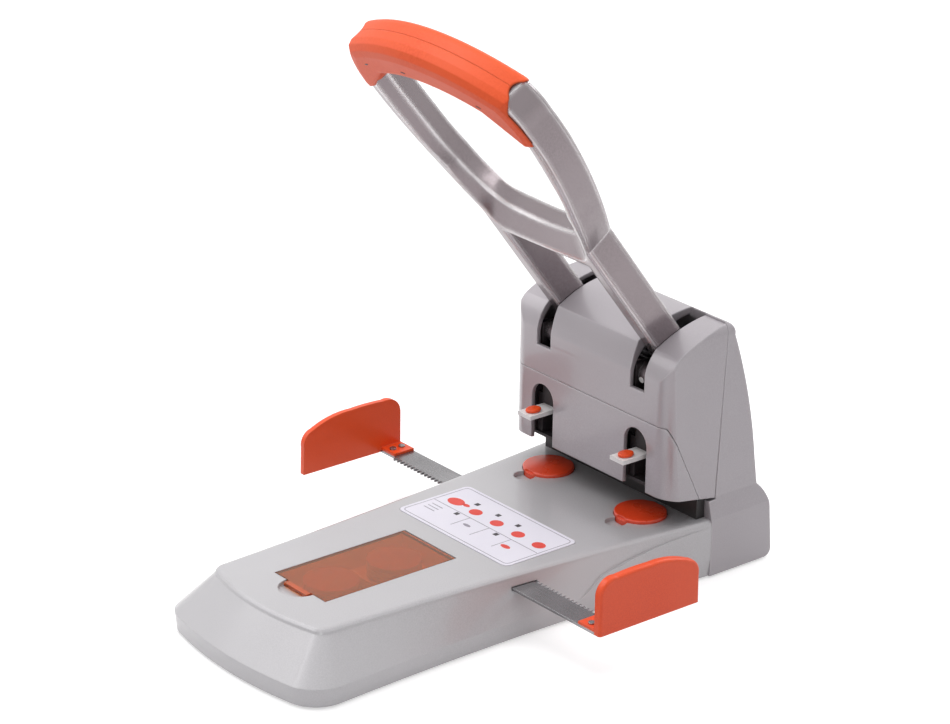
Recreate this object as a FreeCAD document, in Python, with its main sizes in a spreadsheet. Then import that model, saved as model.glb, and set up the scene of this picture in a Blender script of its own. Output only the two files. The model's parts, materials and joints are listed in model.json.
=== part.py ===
import FreeCAD, Part
import Sketcher
import math
import os
import re

# Heavy lever punch for two holes: table, punching head, looped lever and side guides.
# Right is +X for the person who presses the lever, the nose of the table looks to -Y, up is +Z.
# The origin lies on the floor, in the middle of the footprint. Millimetres and degrees.

SIZES = {
    # table and base
    "rear_depth": 47.0,
    "table_height": 36.0,
    "foot_height": 1.5,
    "skirt_height": 12.0,
    "rear_half_width": 72.0,
    "nose_half_width": 68.0,
    "nose_corner_length": 27.0,
    "nose_corner_width": 18.0,
    "nose_bulge": 5.0,
    "side_waist": 4.5,
    "table_front_inset": 19.6,
    "table_side_inset": 17.6,
    "table_corner": 7.0,
    "skirt_draft": 1.2,
    "table_round": 3.0,
    "shell_wall": 3.0,
    "flare_length": 121.0,
    "flare_knee": 76.0,
    "flare_knee_drop": 14.0,
    "flare_drop": 4.0,
    "flare_bend": 2.3,
    # storage well and its lid
    "lid_width": 45.4,
    "lid_length": 88.5,
    "lid_thickness": 2.0,
    "lid_front": 50.0,
    "lid_margin": 9.5,
    "lid_ledge": 1.4,
    "lid_tab_width": 20.0,
    "lid_tab_length": 3.5,
    "hinge_pin_radius": 0.6,
    "hinge_pin_reach": 3.0,
    "well_depth": 14.0,
    "well_wall": 2.0,
    "scoop_radius": 12.0,
    "scoop_depth": 2.6,
    # cutting discs in use, spare discs and their key
    "disc_radius": 15.0,
    "disc_thickness": 5.0,
    "disc_rise": 2.0,
    "disc_setback": 5.8,
    "disc_notch_radius": 9.0,
    "disc_notch": 1.3,
    "disc_round": 0.8,
    "spare_thickness": 3.2,
    "spare_drop": 2.6,
    "spare_groove": 0.5,
    "spare_pitch": 43.0,
    "key_length": 30.0,
    "key_width": 5.0,
    "key_height": 3.0,
    "thumb_scoop_radius": 6.3,
    # label
    "label_width": 96.0,
    "label_length": 51.5,
    "label_thickness": 0.5,
    "label_recess": 0.3,
    "label_corner": 4.0,
    "label_setback": 99.0,
    # punching head
    "head_reach": 31.0,
    "paper_gap": 17.8,
    "hole_pitch": 80.0,
    "punch_setback": 12.5,
    "gap_fall": 6.3,
    "head_half_width": 68.5,
    "head_taper": 3.0,
    "head_height": 115.0,
    "head_foot": 5.0,
    "head_rake": 13.0,
    "crest_drop": 2.5,
    "shoulder_round": 9.0,
    "face_height": 79.0,
    "face_bend": 3.0,
    "brow_setback": 8.0,
    "brow_height": 101.0,
    "brow_bend": 1.9,
    "dome_rise": 2.8,
    "front_corner": 12.0,
    "cover_wall": 2.6,
    "seam_gap": 0.3,
    "parting_height": 60.0,
    "parting_corner": 2.0,
    "parting_foot": 25.0,
    "window_width": 19.0,
    "window_height": 26.4,
    "arm_slot_width": 12.0,
    "slot_clearance": 0.9,
    "arm_slot_end": 45.5,
    # back of the head
    "heel_height": 29.5,
    "heel_inset": 2.0,
    "back_foot_inset": 10.0,
    "back_foot_height": 12.0,
    "back_waist_inset": 12.0,
    "back_waist_height": 28.0,
    "back_top_inset": 29.0,
    "back_bend": 2.5,
    "stop_height": 11.6,
    "stop_depth": 6.0,
    # lever
    "pivot_setback": 40.8,
    "pivot_rise": 74.0,
    "lever_angle": 52.6,
    "lever_swing": 32.0,
    "arm_thickness": 11.4,
    "lever_front": 10.1,
    "lever_back": 10.1,
    "crotch_reach": 109.0,
    "web_height": 16.0,
    "handle_reach": 270.0,
    "loop_half_width": 72.5,
    "loop_draft": 2.5,
    "ridge_level": 2.3,
    "axle_radius": 5.0,
    "axle_clearance": 0.06,
    "eye_radius": 12.0,
    "beak_reach": 29.0,
    "beak_lift": 17.25,
    "beak_boss_radius": 7.5,
    "cross_pin_radius": 3.0,
    # grip
    "grip_front": 12.2,
    "grip_back": 11.2,
    "grip_over": 1.0,
    "grip_split": 1.3,
    "grip_round": 8.0,
    "edge_round": 2.4,
    "core_inset": 5.0,
    "core_front": 5.0,
    "core_back": 3.0,
    "core_gap": 0.25,
    # frame, guide and punches
    "cheek_inner": 52.0,
    "cheek_thickness": 4.0,
    "frame_front": 5.5,
    "frame_foot": 4.0,
    "frame_wall": 4.0,
    "frame_gap": 1.0,
    "guide_lift": 0.5,
    "guide_rise": 30.0,
    "ledge_rise": 24.0,
    "stripper_thickness": 1.8,
    "channel_width": 14.2,
    "holder_width": 13.4,
    "holder_depth": 13.0,
    "holder_height": 24.0,
    "fork_width": 19.0,
    "fork_height": 26.0,
    "fork_floor": 6.0,
    "tube_radius": 2.75,
    "tube_bore": 2.2,
    "tip_clearance": 0.5,
    "tab_rise": 36.4,
    "tab_thickness": 2.4,
    "tab_width": 11.4,
    "tab_reach": 13.5,
    "insert_height": 2.0,
    "insert_margin": 1.8,
    "spring_radius": 4.0,
    "spring_wire": 1.0,
    "ear_rise": 50.0,
    "ear_thickness": 4.0,
    "ear_width": 9.0,
    "spring_setback": 14.0,
    # side guides
    "strip_setback": 104.0,
    "strip_width": 14.7,
    "strip_thickness": 1.5,
    "strip_drop": 6.6,
    "slide_in": 30.0,
    "tooth_pitch": 3.2,
    "tooth_addendum": 0.8,
    "tooth_root_gap": 0.3,
    "tooth_width": 1.3,
    "tooth_slope": 0.25,
    "tooth_margin": 14.0,
    "plate_thickness": 4.5,
    "plate_inner": 127.0,
    "left_lead": 4.8,
    "plate_height": 32.5,
    "plate_length": 71.0,
    "plate_round": 1.6,
    "clamp_length": 13.0,
    "clamp_height": 1.6,
    "track_thickness": 3.0,
    "track_half_width": 54.0,
    "track_margin": 4.0,
    "pinion_bore": 3.0,
    # fasteners and feet
    "foot_radius": 8.0,
    "foot_inset": 16.0,
    "screw_radius": 1.5,
    "screw_head_radius": 3.0,
    "screw_head_height": 1.5,
    "screw_length": 12.0,
    "post_radius": 4.0,
    "plate_sheet": 2.5,
    "rivet_radius": 2.0,
    "running_gap": 0.3,
    "press_gap": 0.05,
    "overrun": 1.0,
    "far_overrun": 9.0,
}

PINION_TEETH = 40

# sagitta of a quarter circle as a share of its radius
QUARTER_SHARE = 0.292893

# steps of a rounded edge: shares of its radius along the solid's thickness and inwards
ROUND_SHARES = ((0, 1), (0.134, 0.5), (0.5, 0.134), (1, 0))

# side view of an end plate: shares of its length and height, bend of the edge that follows,
# and the direction in which its rounded edge shrinks each corner
PLATE_SHARES = ((0, 0, 0, 1, 0), (1, 0, 0, -1, 0), (0.995, 0.5, 0.035, -1, -0.3), (0.9, 0.82, 0.025, -0.7, -0.7),
                (0.5, 0.99, 0.006, 0, -1), (0.17, 0.98, 0.05, 0.4, -0.9), (0, 0.7, 0, 1, -0.3))

# loop of the lever, from the neck up: shares of its half width and of its span beyond the neck
CONTOUR_SHARES = ((0.828, 0.241, 0.01), (0.993, 0.593, 0.004), (0.986, 0.745, 0.014), (0.9, 0.89, 0))
NECK_BEND_SHARES = (0.004, 0.01, 0.004, 0.014)
TOP_BEND_SHARE = 0.103
BACK_OPENING_SHARES = ((0.303, -0.014), (0.607, 0.041), (0.752, 0.234), (0.825, 0.42), (0.832, 1.1))
RIDGE_OPENING_SHARES = ((0.276, 0.007), (0.51, 0.076), (0.683, 0.234), (0.759, 0.42), (0.772, 1.1))
FRONT_OPENING_SHARES = ((0.414, -0.088), (0.572, -0.034), (0.71, 0.234), (0.82, 0.42), (0.89, 1.1))
OPENING_BEND_SHARES = (0.017, 0.01, 0.008, 0.02)
WEB_BEND_SHARE = 0.01
LIMB_END_SHARES = (0.875, 0.841)
RIVET_SHARES = (0.28, 0.72)
GRIP_CORNER_SHARES = (0.607, 0.793)
GRIP_BEND_SHARE = 0.055
GRIP_END_SHARE = 0.69

# other shares that the outlines use by name
SHARES = {
    "limb_round_share": 0.62,
    "nose_line_share": 0.3,
    "rim_wall_share": 1.6,
    "track_reach_share": 0.8,
    "scoop_shift_share": 0.5,
    "foot_row_share": 1.4,
    "cap_share": 1.6,
    "upper_boss_share": 0.75,
    "bow_share": 1.2,
    "corner_bow_share": 0.25,
    "key_head_share": 0.7,
    "foot_end_share": 1.5,
    "fork_lip_share": 1.5,
}

# lengths that follow from the sizes
LENGTHS = {
    "base_length": "lid_front + lid_length + lid_margin + strip_setback + head_reach + rear_depth",
    "neck_reach": "crotch_reach + web_height",
    "loop_span": "handle_reach - crotch_reach - web_height",
    "strip_inner": "track_half_width - slide_in",
}

# places worked out from the sizes
SEAM_Y = "(base_length / 2 - rear_depth)"
REAR_Y = "(base_length / 2)"
FACE_Y = "(base_length / 2 - rear_depth - head_reach)"
PUNCH_X = "(hole_pitch / 2)"
PUNCH_Y = "(base_length / 2 - rear_depth - head_reach + punch_setback)"
MOUTH_Z = "(table_height + paper_gap)"
HEAD_TOP_Z = "(table_height + head_height)"
PIVOT_Y = "(base_length / 2 - rear_depth - head_reach + pivot_setback)"
PIVOT_Z = "(table_height + pivot_rise)"
ARM_X = "(hole_pitch / 2 - arm_thickness / 2)"
DISC_Y = "(base_length / 2 - rear_depth - head_reach + disc_setback)"
LID_FRONT_Y = "(lid_front - base_length / 2)"
LID_REAR_Y = "(lid_front - base_length / 2 + lid_length)"
LID_BOTTOM_Z = "(table_height - lid_thickness)"
STRIP_Y = "(base_length / 2 - rear_depth - head_reach - strip_setback)"
STRIP_Z = "(table_height - strip_drop)"
RACK_Y = "(base_length / 2 - rear_depth - head_reach - strip_setback + strip_width)"
PINION_RADIUS = "(tooth_pitch * %d / (2 * pi))" % PINION_TEETH
PINION_Y = "(%s + tooth_addendum + tooth_root_gap + %s)" % (RACK_Y, PINION_RADIUS)
TRACK_Z = "(table_height - strip_drop - strip_thickness - running_gap)"
FLOOR_Z = "(foot_height + plate_sheet)"
CEILING_Z = "(table_height + paper_gap + guide_lift)"
BEAK_ANGLE = "(lever_angle - beak_lift)"
CORNER_BEND = "(front_corner * %s)" % QUARTER_SHARE
GRIP_LOW = "(neck_reach + loop_span * %s)" % GRIP_END_SHARE
PRESSED_ANGLE = "(lever_angle - lever_swing)"
SLOT_Z = "(table_height + pivot_rise + (pivot_setback - cover_wall) * tan(%s) - lever_front / cos(%s) - slot_clearance)" % (
    PRESSED_ANGLE, PRESSED_ANGLE)

X_AXIS = FreeCAD.Vector(1, 0, 0)
Y_AXIS = FreeCAD.Vector(0, 1, 0)
Z_AXIS = FreeCAD.Vector(0, 0, 1)

doc = FreeCAD.newDocument("hole_punch")
sheet = doc.addObject("Spreadsheet::Sheet", "sizes")
nodes = {}


# the sheet of sizes

def fill_sheet():
    for row, name in enumerate(SIZES, 1):
        sheet.set("A%d" % row, name)
        sheet.set("B%d" % row, str(SIZES[name]))
        sheet.setAlias("B%d" % row, name)
    doc.recompute()


def spelt_out(text):
    """Put the sum or the number for each name that isn't in the sheet itself."""
    def spell(match):
        word = match.group(0)
        if word in LENGTHS:
            return "(%s)" % spelt_out(LENGTHS[word])
        return str(SHARES.get(word, word))
    return re.sub(r"[a-z][a-z_]+", spell, text)


def bound(text):
    def point_to_sheet(match):
        word = match.group(0)
        return "sizes." + word if word in SIZES else word
    return re.sub(r"[a-z][a-z_]+", point_to_sheet, spelt_out(text))


def value(text):
    return float(sheet.evalExpression(spelt_out(text)))


def bind(target, path, text):
    target.setExpression(path, bound(text))


# sketches: every corner and radius is bound to the sheet

def arc_radius(start, end, sag):
    chord = "((%s) - (%s))^2 + ((%s) - (%s))^2" % (end[0], start[0], end[1], start[1])
    return "((%s) / 4 + (%s)^2) / (2 * abs(%s))" % (chord, sag, sag)


def is_bent(point):
    return len(point) > 2 and abs(value(point[2])) > 0


def draw_edge(sketch, start, end, sag):
    """Add one edge and say which of its ends comes first: an arc runs counter-clockwise in a sketch."""
    if sag == 0:
        return sketch.addGeometry(Part.LineSegment(start, end)), 1, 2
    along = end - start
    outward = FreeCAD.Vector(along.y, -along.x, 0).normalize()
    middle = (start + end) / 2 + outward * sag
    if sag > 0:
        return sketch.addGeometry(Part.Arc(start, middle, end)), 1, 2
    return sketch.addGeometry(Part.Arc(end, middle, start)), 2, 1


def counter_clockwise(loop):
    """Turn a clockwise outline round, each bend staying on its own edge."""
    places = [(value(point[0]), value(point[1])) for point in loop]
    turns = [near[0] * far[1] - far[0] * near[1] for near, far in zip(places, places[1:] + places[:1])]
    if sum(turns) > 0:
        return loop
    return [loop[index][:2] + loop[index - 1][2:] for index in range(len(loop) - 1, -1, -1)]


def add_loop(sketch, loop):
    """Closed outline. A third entry bends the edge that follows a point outwards."""
    loop = counter_clockwise(loop)
    places = [FreeCAD.Vector(value(point[0]), value(point[1]), 0) for point in loop]
    edges = []
    for index, point in enumerate(loop):
        sag = value(point[2]) if is_bent(point) else 0
        edges.append(draw_edge(sketch, places[index], places[(index + 1) % len(loop)], sag))
    for index, point in enumerate(loop):
        number, near, far = edges[index]
        after, after_near, _ = edges[(index + 1) % len(loop)]
        sketch.addConstraint(Sketcher.Constraint("Coincident", number, far, after, after_near))
        for axis, text in (("DistanceX", point[0]), ("DistanceY", point[1])):
            rule = sketch.addConstraint(Sketcher.Constraint(axis, -1, 1, number, near, value(text)))
            bind(sketch, "Constraints[%d]" % rule, text)
        if is_bent(point):
            radius = arc_radius(point, loop[(index + 1) % len(loop)], point[2])
            rule = sketch.addConstraint(Sketcher.Constraint("Radius", number, value(radius)))
            bind(sketch, "Constraints[%d]" % rule, radius)


def add_circle(sketch, x, y, radius):
    center = FreeCAD.Vector(value(x), value(y), 0)
    number = sketch.addGeometry(Part.Circle(center, Z_AXIS, value(radius)))
    for axis, text in (("DistanceX", x), ("DistanceY", y)):
        rule = sketch.addConstraint(Sketcher.Constraint(axis, -1, 1, number, 3, value(text)))
        bind(sketch, "Constraints[%d]" % rule, text)
    rule = sketch.addConstraint(Sketcher.Constraint("Radius", number, value(radius)))
    bind(sketch, "Constraints[%d]" % rule, radius)


def draw(body, plane, loops, level="0"):
    """Sketch on one of the body's own planes, lifted along the plane's normal by a level."""
    sketch = body.newObject("Sketcher::SketchObject", body.Name + "_sketch")
    support = [item for item in body.Origin.OriginFeatures if item.Role == plane + "_Plane"][0]
    sketch.AttachmentSupport = (support, [""])
    sketch.MapMode = "FlatFace"
    if level != "0":
        bind(sketch, "AttachmentOffset.Base.z", level)
    for loop in loops:
        if loop[0] == "circle":
            add_circle(sketch, loop[1], loop[2], loop[3])
        else:
            add_loop(sketch, loop)
    return sketch


def rectangle(x0, y0, x1, y1):
    return [(x0, y0), (x1, y0), (x1, y1), (x0, y1)]


def round_rectangle(x0, y0, x1, y1, radius):
    bend = "(%s * %s)" % (radius, QUARTER_SHARE)
    left, right = "(%s + %s)" % (x0, radius), "(%s - %s)" % (x1, radius)
    low, high = "(%s + %s)" % (y0, radius), "(%s - %s)" % (y1, radius)
    return [(left, y0), (right, y0, bend), (x1, low), (x1, high, bend),
            (right, y1), (left, y1, bend), (x0, high), (x0, low, bend)]


# features of a body

def new_body(name):
    return doc.addObject("PartDesign::Body", name)


def pad(body, plane, loops, length, level="0", both_ways=False):
    feature_sketch = draw(body, plane, loops, level)
    feature = body.newObject("PartDesign::Pad", body.Name + "_pad")
    feature.Profile = feature_sketch
    if both_ways:
        feature.SideType = "Symmetric"
    bind(feature, "Length", length)
    doc.recompute()
    return feature


def pocket(body, plane, loops, length, level="0", both_ways=False, reverse=False):
    feature_sketch = draw(body, plane, loops, level)
    before = body.Shape.Volume
    feature = body.newObject("PartDesign::Pocket", body.Name + "_pocket")
    feature.Profile = feature_sketch
    if both_ways:
        feature.SideType = "Symmetric"
    feature.Reversed = reverse
    bind(feature, "Length", length)
    doc.recompute()
    if body.Shape.Volume >= before:
        raise ValueError(feature.Name + " cuts nothing")
    return feature


def loft(body, sections, subtract=False, plane="XY"):
    """Ruled loft through outlines drawn level above level: (level, loop)."""
    sketches = [draw(body, plane, [loop], level) for level, loop in sections]
    kind = "PartDesign::SubtractiveLoft" if subtract else "PartDesign::AdditiveLoft"
    feature = body.newObject(kind, body.Name + "_loft")
    feature.Profile = sketches[0]
    feature.Sections = sketches[1:]
    feature.Ruled = True
    doc.recompute()
    return feature


def dress(body, kind, wanted, size):
    """Fillet or chamfer the edges that a test picks."""
    base = body.Tip
    names = ["Edge%d" % number for number, edge in enumerate(base.Shape.Edges, 1) if wanted(edge)]
    if not names:
        raise ValueError("no edge to dress on " + body.Name)
    feature = body.newObject("PartDesign::" + kind, body.Name + "_" + kind.lower())
    feature.Base = (base, names)
    bind(feature, "Radius" if kind == "Fillet" else "Size", size)
    doc.recompute()
    return feature


def repeat(body, kind, feature, axis_role, count, spacing):
    """Repeat a feature along or around one of the body's own axes."""
    axis = [item for item in body.Origin.OriginFeatures if item.Role == axis_role][0]
    pattern = body.newObject("PartDesign::" + kind, body.Name + "_pattern")
    pattern.Originals = [feature]
    if kind == "LinearPattern":
        pattern.Direction = (axis, [""])
        bind(pattern, "Length", "(%s * %d)" % (spacing, count - 1))
    else:
        pattern.Axis = (axis, [""])
        pattern.Angle = 360
    pattern.Occurrences = count
    body.Tip = pattern
    doc.recompute()
    return pattern


# plain solids and joined solids

def box(name, x0, y0, z0, x1, y1, z1):
    solid = doc.addObject("Part::Box", name)
    for path, text in (("Length", "(%s) - (%s)" % (x1, x0)), ("Width", "(%s) - (%s)" % (y1, y0)),
                       ("Height", "(%s) - (%s)" % (z1, z0)), ("Placement.Base.x", x0),
                       ("Placement.Base.y", y0), ("Placement.Base.z", z0)):
        bind(solid, path, text)
    return solid


def rod(name, radius, start, end):
    """Round bar between two places that differ along one axis only."""
    solid = doc.addObject("Part::Cylinder", name)
    bind(solid, "Radius", radius)
    axis = [index for index in range(3) if start[index] != end[index]][0]
    if axis == 0:
        solid.Placement.Rotation = FreeCAD.Rotation(Y_AXIS, 90)
    if axis == 1:
        solid.Placement.Rotation = FreeCAD.Rotation(X_AXIS, -90)
    bind(solid, "Height", "(%s) - (%s)" % (end[axis], start[axis]))
    for path, text in zip(("x", "y", "z"), start):
        bind(solid, "Placement.Base." + path, text)
    return solid


def fuse(name, solids):
    joined = doc.addObject("Part::MultiFuse", name)
    joined.Shapes = solids
    doc.recompute()
    return joined


def cut(name, base, tools):
    tool = tools[0] if len(tools) == 1 else fuse(name + "_tools", tools)
    result = doc.addObject("Part::Cut", name)
    result.Base = base
    result.Tool = tool
    doc.recompute()
    if result.Shape.Volume >= base.Shape.Volume:
        raise ValueError(name + " is not cut")
    return result


def common(name, first, second):
    result = doc.addObject("Part::Common", name)
    result.Base = first
    result.Tool = second
    doc.recompute()
    return result


def mirror(name, source):
    twin = doc.addObject("Part::Mirroring", name)
    twin.Source = source
    twin.Normal = X_AXIS
    doc.recompute()
    return twin


def group(name, solids):
    gathered = doc.addObject("Part::Compound", name)
    gathered.Links = solids
    doc.recompute()
    return gathered


def keep(node, solid):
    """Name a finished sub-part and put it on the list of parts to write."""
    solid.Label = node
    nodes[node] = solid
    return solid


def round_steps(level, size, sign):
    """Levels and insets of the outlines that make a rounded edge."""
    return [("(%s %s %s * %s)" % (level, sign, size, along), "(%s * %s)" % (size, inwards))
            for along, inwards in ROUND_SHARES]


# outline of the base, seen from above

def base_outline(rear, front, front_y, nose, nose_y, bulge, waist, corner, inset, seam_inset):
    half_rear = "(%s - %s)" % (rear, inset)
    half_front = "(%s - %s)" % (front, inset)
    half_nose = "(%s - %s / 2)" % (nose, inset)
    low = "(%s + %s)" % (nose_y, inset)
    rear_y = "(%s - %s)" % (SEAM_Y, seam_inset)
    return [(half_rear, rear_y), ("-" + half_rear, rear_y, "-(%s)" % waist), ("-" + half_front, front_y, corner),
            ("-" + half_nose, low, bulge), (half_nose, low, corner), (half_front, front_y, "-(%s)" % waist)]


def skirt_outline(inset, seam_inset="0"):
    return base_outline("rear_half_width", "nose_half_width", "(nose_corner_length - base_length / 2)",
                        "(nose_half_width - nose_corner_width)", "(nose_bulge - base_length / 2)",
                        "nose_bulge", "side_waist", "(nose_corner_width * nose_line_share)", inset, seam_inset)


def table_outline(inset, seam_inset="0"):
    front_y = "(table_front_inset + table_corner * 2 - base_length / 2)"
    nose_y = "(table_front_inset + nose_bulge * bow_share - base_length / 2)"
    return base_outline("rear_half_width", "(nose_half_width - table_side_inset)", front_y,
                        "(nose_half_width - table_side_inset - table_corner)", nose_y,
                        "(nose_bulge * bow_share)", "(side_waist / 2)", "(table_corner * corner_bow_share)", inset, seam_inset)


def make_base_outside():
    """Skirt, sloping sides and a rounded table edge, stacked from outlines."""
    shell = new_body("base_outside")
    sections = [("foot_height", skirt_outline("skirt_draft")), ("skirt_height", skirt_outline("0"))]
    for angle in (0, 30, 60, 90):
        level = "(table_height - table_round * (1 - sin(%d)))" % angle
        sections.append((level, table_outline("(table_round * (1 - cos(%d)))" % angle)))
    loft(shell, sections)
    return shell


def make_flare():
    """Upright rear part of the sides, which starts as a rising cove below the guide strips."""
    flare = new_body("flare")
    pad(flare, "XY", [skirt_outline("0")], "(table_height - flare_drop - skirt_height)", "skirt_height")
    pocket(flare, "YZ", [[
        ("(%s - flare_length)" % SEAM_Y, "foot_height", "flare_bend"),
        ("(%s - flare_knee)" % SEAM_Y, "(table_height - flare_knee_drop)", "-flare_bend"),
        ("(%s + overrun)" % SEAM_Y, "(table_height - flare_drop)"),
        ("(%s + overrun)" % SEAM_Y, "(table_height + overrun)"),
        ("-(base_length / 2 + overrun)", "(table_height + overrun)"),
        ("-(base_length / 2 + overrun)", "(foot_height - overrun)"),
        ("(%s - flare_length)" % SEAM_Y, "(foot_height - overrun)"),
    ]], "(rear_half_width * 3)", both_ways=True)
    return flare


def post_places():
    front = "(lid_front - base_length / 2 - shell_wall)"
    rear = "(2 * %s - %s + track_margin + post_radius * 2)" % (PINION_Y, STRIP_Y)
    for side in ("-", ""):
        yield side + "(nose_half_width - table_side_inset - post_radius * 2)", front
        yield side + "(track_half_width - post_radius / 2)", rear


def make_base_hollow():
    """Space under the table, around the storage well, the disc seats and the screw posts."""
    hollow = new_body("hollow")
    loft(hollow, [("(foot_height - overrun)", skirt_outline("(shell_wall + skirt_draft)", "shell_wall")),
                  ("skirt_height", skirt_outline("shell_wall", "shell_wall")),
                  ("(table_height - shell_wall)", table_outline("(shell_wall * rim_wall_share)", "shell_wall"))])
    kept = [box("well_block", "-(lid_width / 2 + running_gap + well_wall)",
                "(%s - running_gap - well_wall)" % LID_FRONT_Y, "(table_height - well_depth - well_wall)",
                "(lid_width / 2 + running_gap + well_wall)",
                "(%s + running_gap * 2 + well_wall)" % LID_REAR_Y, "table_height"),
            rod("scoop_block", "(scoop_radius + well_wall)", ("0", LID_FRONT_Y, "(table_height - scoop_depth - well_wall)"),
                ("0", LID_FRONT_Y, "table_height"))]
    for side in ("-", ""):
        seat = (side + PUNCH_X, DISC_Y)
        kept.append(rod("seat_block", "(disc_radius + running_gap + well_wall)",
                        seat + ("(table_height + disc_rise - disc_thickness - shell_wall)",), seat + ("table_height",)))
    for place in post_places():
        kept.append(rod("post", "post_radius", place + (FLOOR_Z,), place + ("table_height",)))
    return cut("base_hollow", hollow, kept)


def strip_slot(name, right):
    """Slit in one side wall for a guide strip."""
    low, high = "(%s - running_gap)" % STRIP_Y, "(%s + 2 * tooth_addendum + tooth_root_gap * 2)" % RACK_Y
    if not right:
        low, high = "(2 * %s - %s)" % (PINION_Y, high), "(2 * %s - %s)" % (PINION_Y, low)
    near, far = "(track_half_width * track_reach_share)", "(rear_half_width + overrun)"
    if not right:
        near, far = "-" + far, "-" + near
    return box(name, near, low, "(%s - strip_thickness - running_gap)" % STRIP_Z, far, high, "(%s + running_gap)" % STRIP_Z)


def make_table_cuts():
    """Lid recess, storage well, label recess, disc seats, thumb scoops and strip slits."""
    label = new_body("label_cut")
    pad(label, "XY", [label_outline("running_gap")], "(label_recess + overrun)", "(table_height - label_recess)")
    cuts = [label,
            box("lid_cut", "-(lid_width / 2 + running_gap)", "(%s - running_gap)" % LID_FRONT_Y, LID_BOTTOM_Z,
                "(lid_width / 2 + running_gap)", "(%s + running_gap * 2)" % LID_REAR_Y, "(table_height + overrun)"),
            box("well_cut", "-(lid_width / 2 - lid_ledge)", "(%s + lid_ledge)" % LID_FRONT_Y, "(table_height - well_depth)",
                "(lid_width / 2 - lid_ledge)", "(%s - lid_ledge * 2)" % LID_REAR_Y, "table_height"),
            rod("scoop_cut", "scoop_radius", ("0", LID_FRONT_Y, "(table_height - scoop_depth)"),
                ("0", LID_FRONT_Y, "(table_height + overrun)")),
            rod("hinge_cut", "(hinge_pin_radius + press_gap)",
                ("-(lid_width / 2 + hinge_pin_reach)", "(%s - lid_thickness / 2)" % LID_REAR_Y, "(table_height - lid_thickness / 2)"),
                ("(lid_width / 2 + hinge_pin_reach)", "(%s - lid_thickness / 2)" % LID_REAR_Y, "(table_height - lid_thickness / 2)")),
            strip_slot("slit_right", True), strip_slot("slit_left", False)]
    for side in ("-", ""):
        seat = (side + PUNCH_X, DISC_Y)
        thumb = (side + PUNCH_X, "(%s - disc_radius - thumb_scoop_radius * scoop_shift_share)" % DISC_Y)
        cuts.append(rod("seat_cut", "(disc_radius + running_gap)",
                        seat + ("(table_height + disc_rise - disc_thickness)",), seat + ("(table_height + overrun)",)))
        cuts.append(rod("thumb_cut", "thumb_scoop_radius", thumb + ("(table_height - scoop_depth)",),
                        thumb + ("(table_height + overrun)",)))
    for place in post_places():
        cuts.append(rod("post_cut", "(screw_radius + press_gap)", place + ("(foot_height)",),
                        place + ("(foot_height + screw_length + overrun)",)))
    return cuts


def make_base_housing():
    outside = fuse("base_block", [make_base_outside(), make_flare()])
    hollowed = cut("base_shell", outside, [make_base_hollow()])
    return keep("base_housing", cut("base_cut", hollowed, make_table_cuts()))


def make_base_plate():
    """Sheet that closes the base from below, screwed to the posts."""
    plate = new_body("bottom_sheet")
    pad(plate, "XY", [skirt_outline("(shell_wall + skirt_draft + running_gap)", "(shell_wall + running_gap)")],
        "plate_sheet", "foot_height")
    holes = []
    for place in post_places():
        holes.append(rod("plate_hole", "(screw_radius + running_gap)", place + ("(foot_height - overrun)",),
                         place + ("(%s + overrun)" % FLOOR_Z,)))
        holes.append(rod("plate_sink", "(screw_head_radius + running_gap)", place + ("(foot_height - overrun)",),
                         place + ("(foot_height + screw_head_height)",)))
    return keep("base_plate", cut("base_plate_cut", plate, holes))


def make_base_screws():
    screws = []
    for place in post_places():
        head = rod("screw_head", "screw_head_radius", place + ("foot_height",), place + ("(foot_height + screw_head_height)",))
        shank = rod("screw_shank", "screw_radius", place + ("foot_height",), place + ("(foot_height + screw_length)",))
        screws.append(fuse("screw", [head, shank]))
    return keep("base_screws", group("base_screw_set", screws))


def make_rubber_feet():
    feet = []
    for side in ("-", ""):
        for y in ("(nose_corner_length + foot_inset - base_length / 2)", "(%s - foot_inset * foot_end_share)" % SEAM_Y):
            x = side + "(nose_half_width - foot_inset * foot_row_share)"
            feet.append(rod("foot", "foot_radius", (x, y, "0"), (x, y, "foot_height")))
        x = side + "(rear_half_width - foot_inset)"
        y = "(%s - foot_inset)" % REAR_Y
        feet.append(rod("foot", "foot_radius", (x, y, "0"), (x, y, "foot_height")))
    return keep("rubber_feet", group("foot_set", feet))


# storage lid, spare discs, label

def label_outline(gap):
    low = "(%s - label_setback - %s)" % (FACE_Y, gap)
    high = "(%s - label_setback + label_length + %s)" % (FACE_Y, gap)
    return round_rectangle("-(label_width / 2 + %s)" % gap, low, "(label_width / 2 + %s)" % gap, high, "label_corner")


def make_label():
    label = new_body("label_sheet")
    pad(label, "XY", [label_outline("0")], "label_thickness", "(table_height - label_recess)")
    return keep("label_plate", label)


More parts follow.
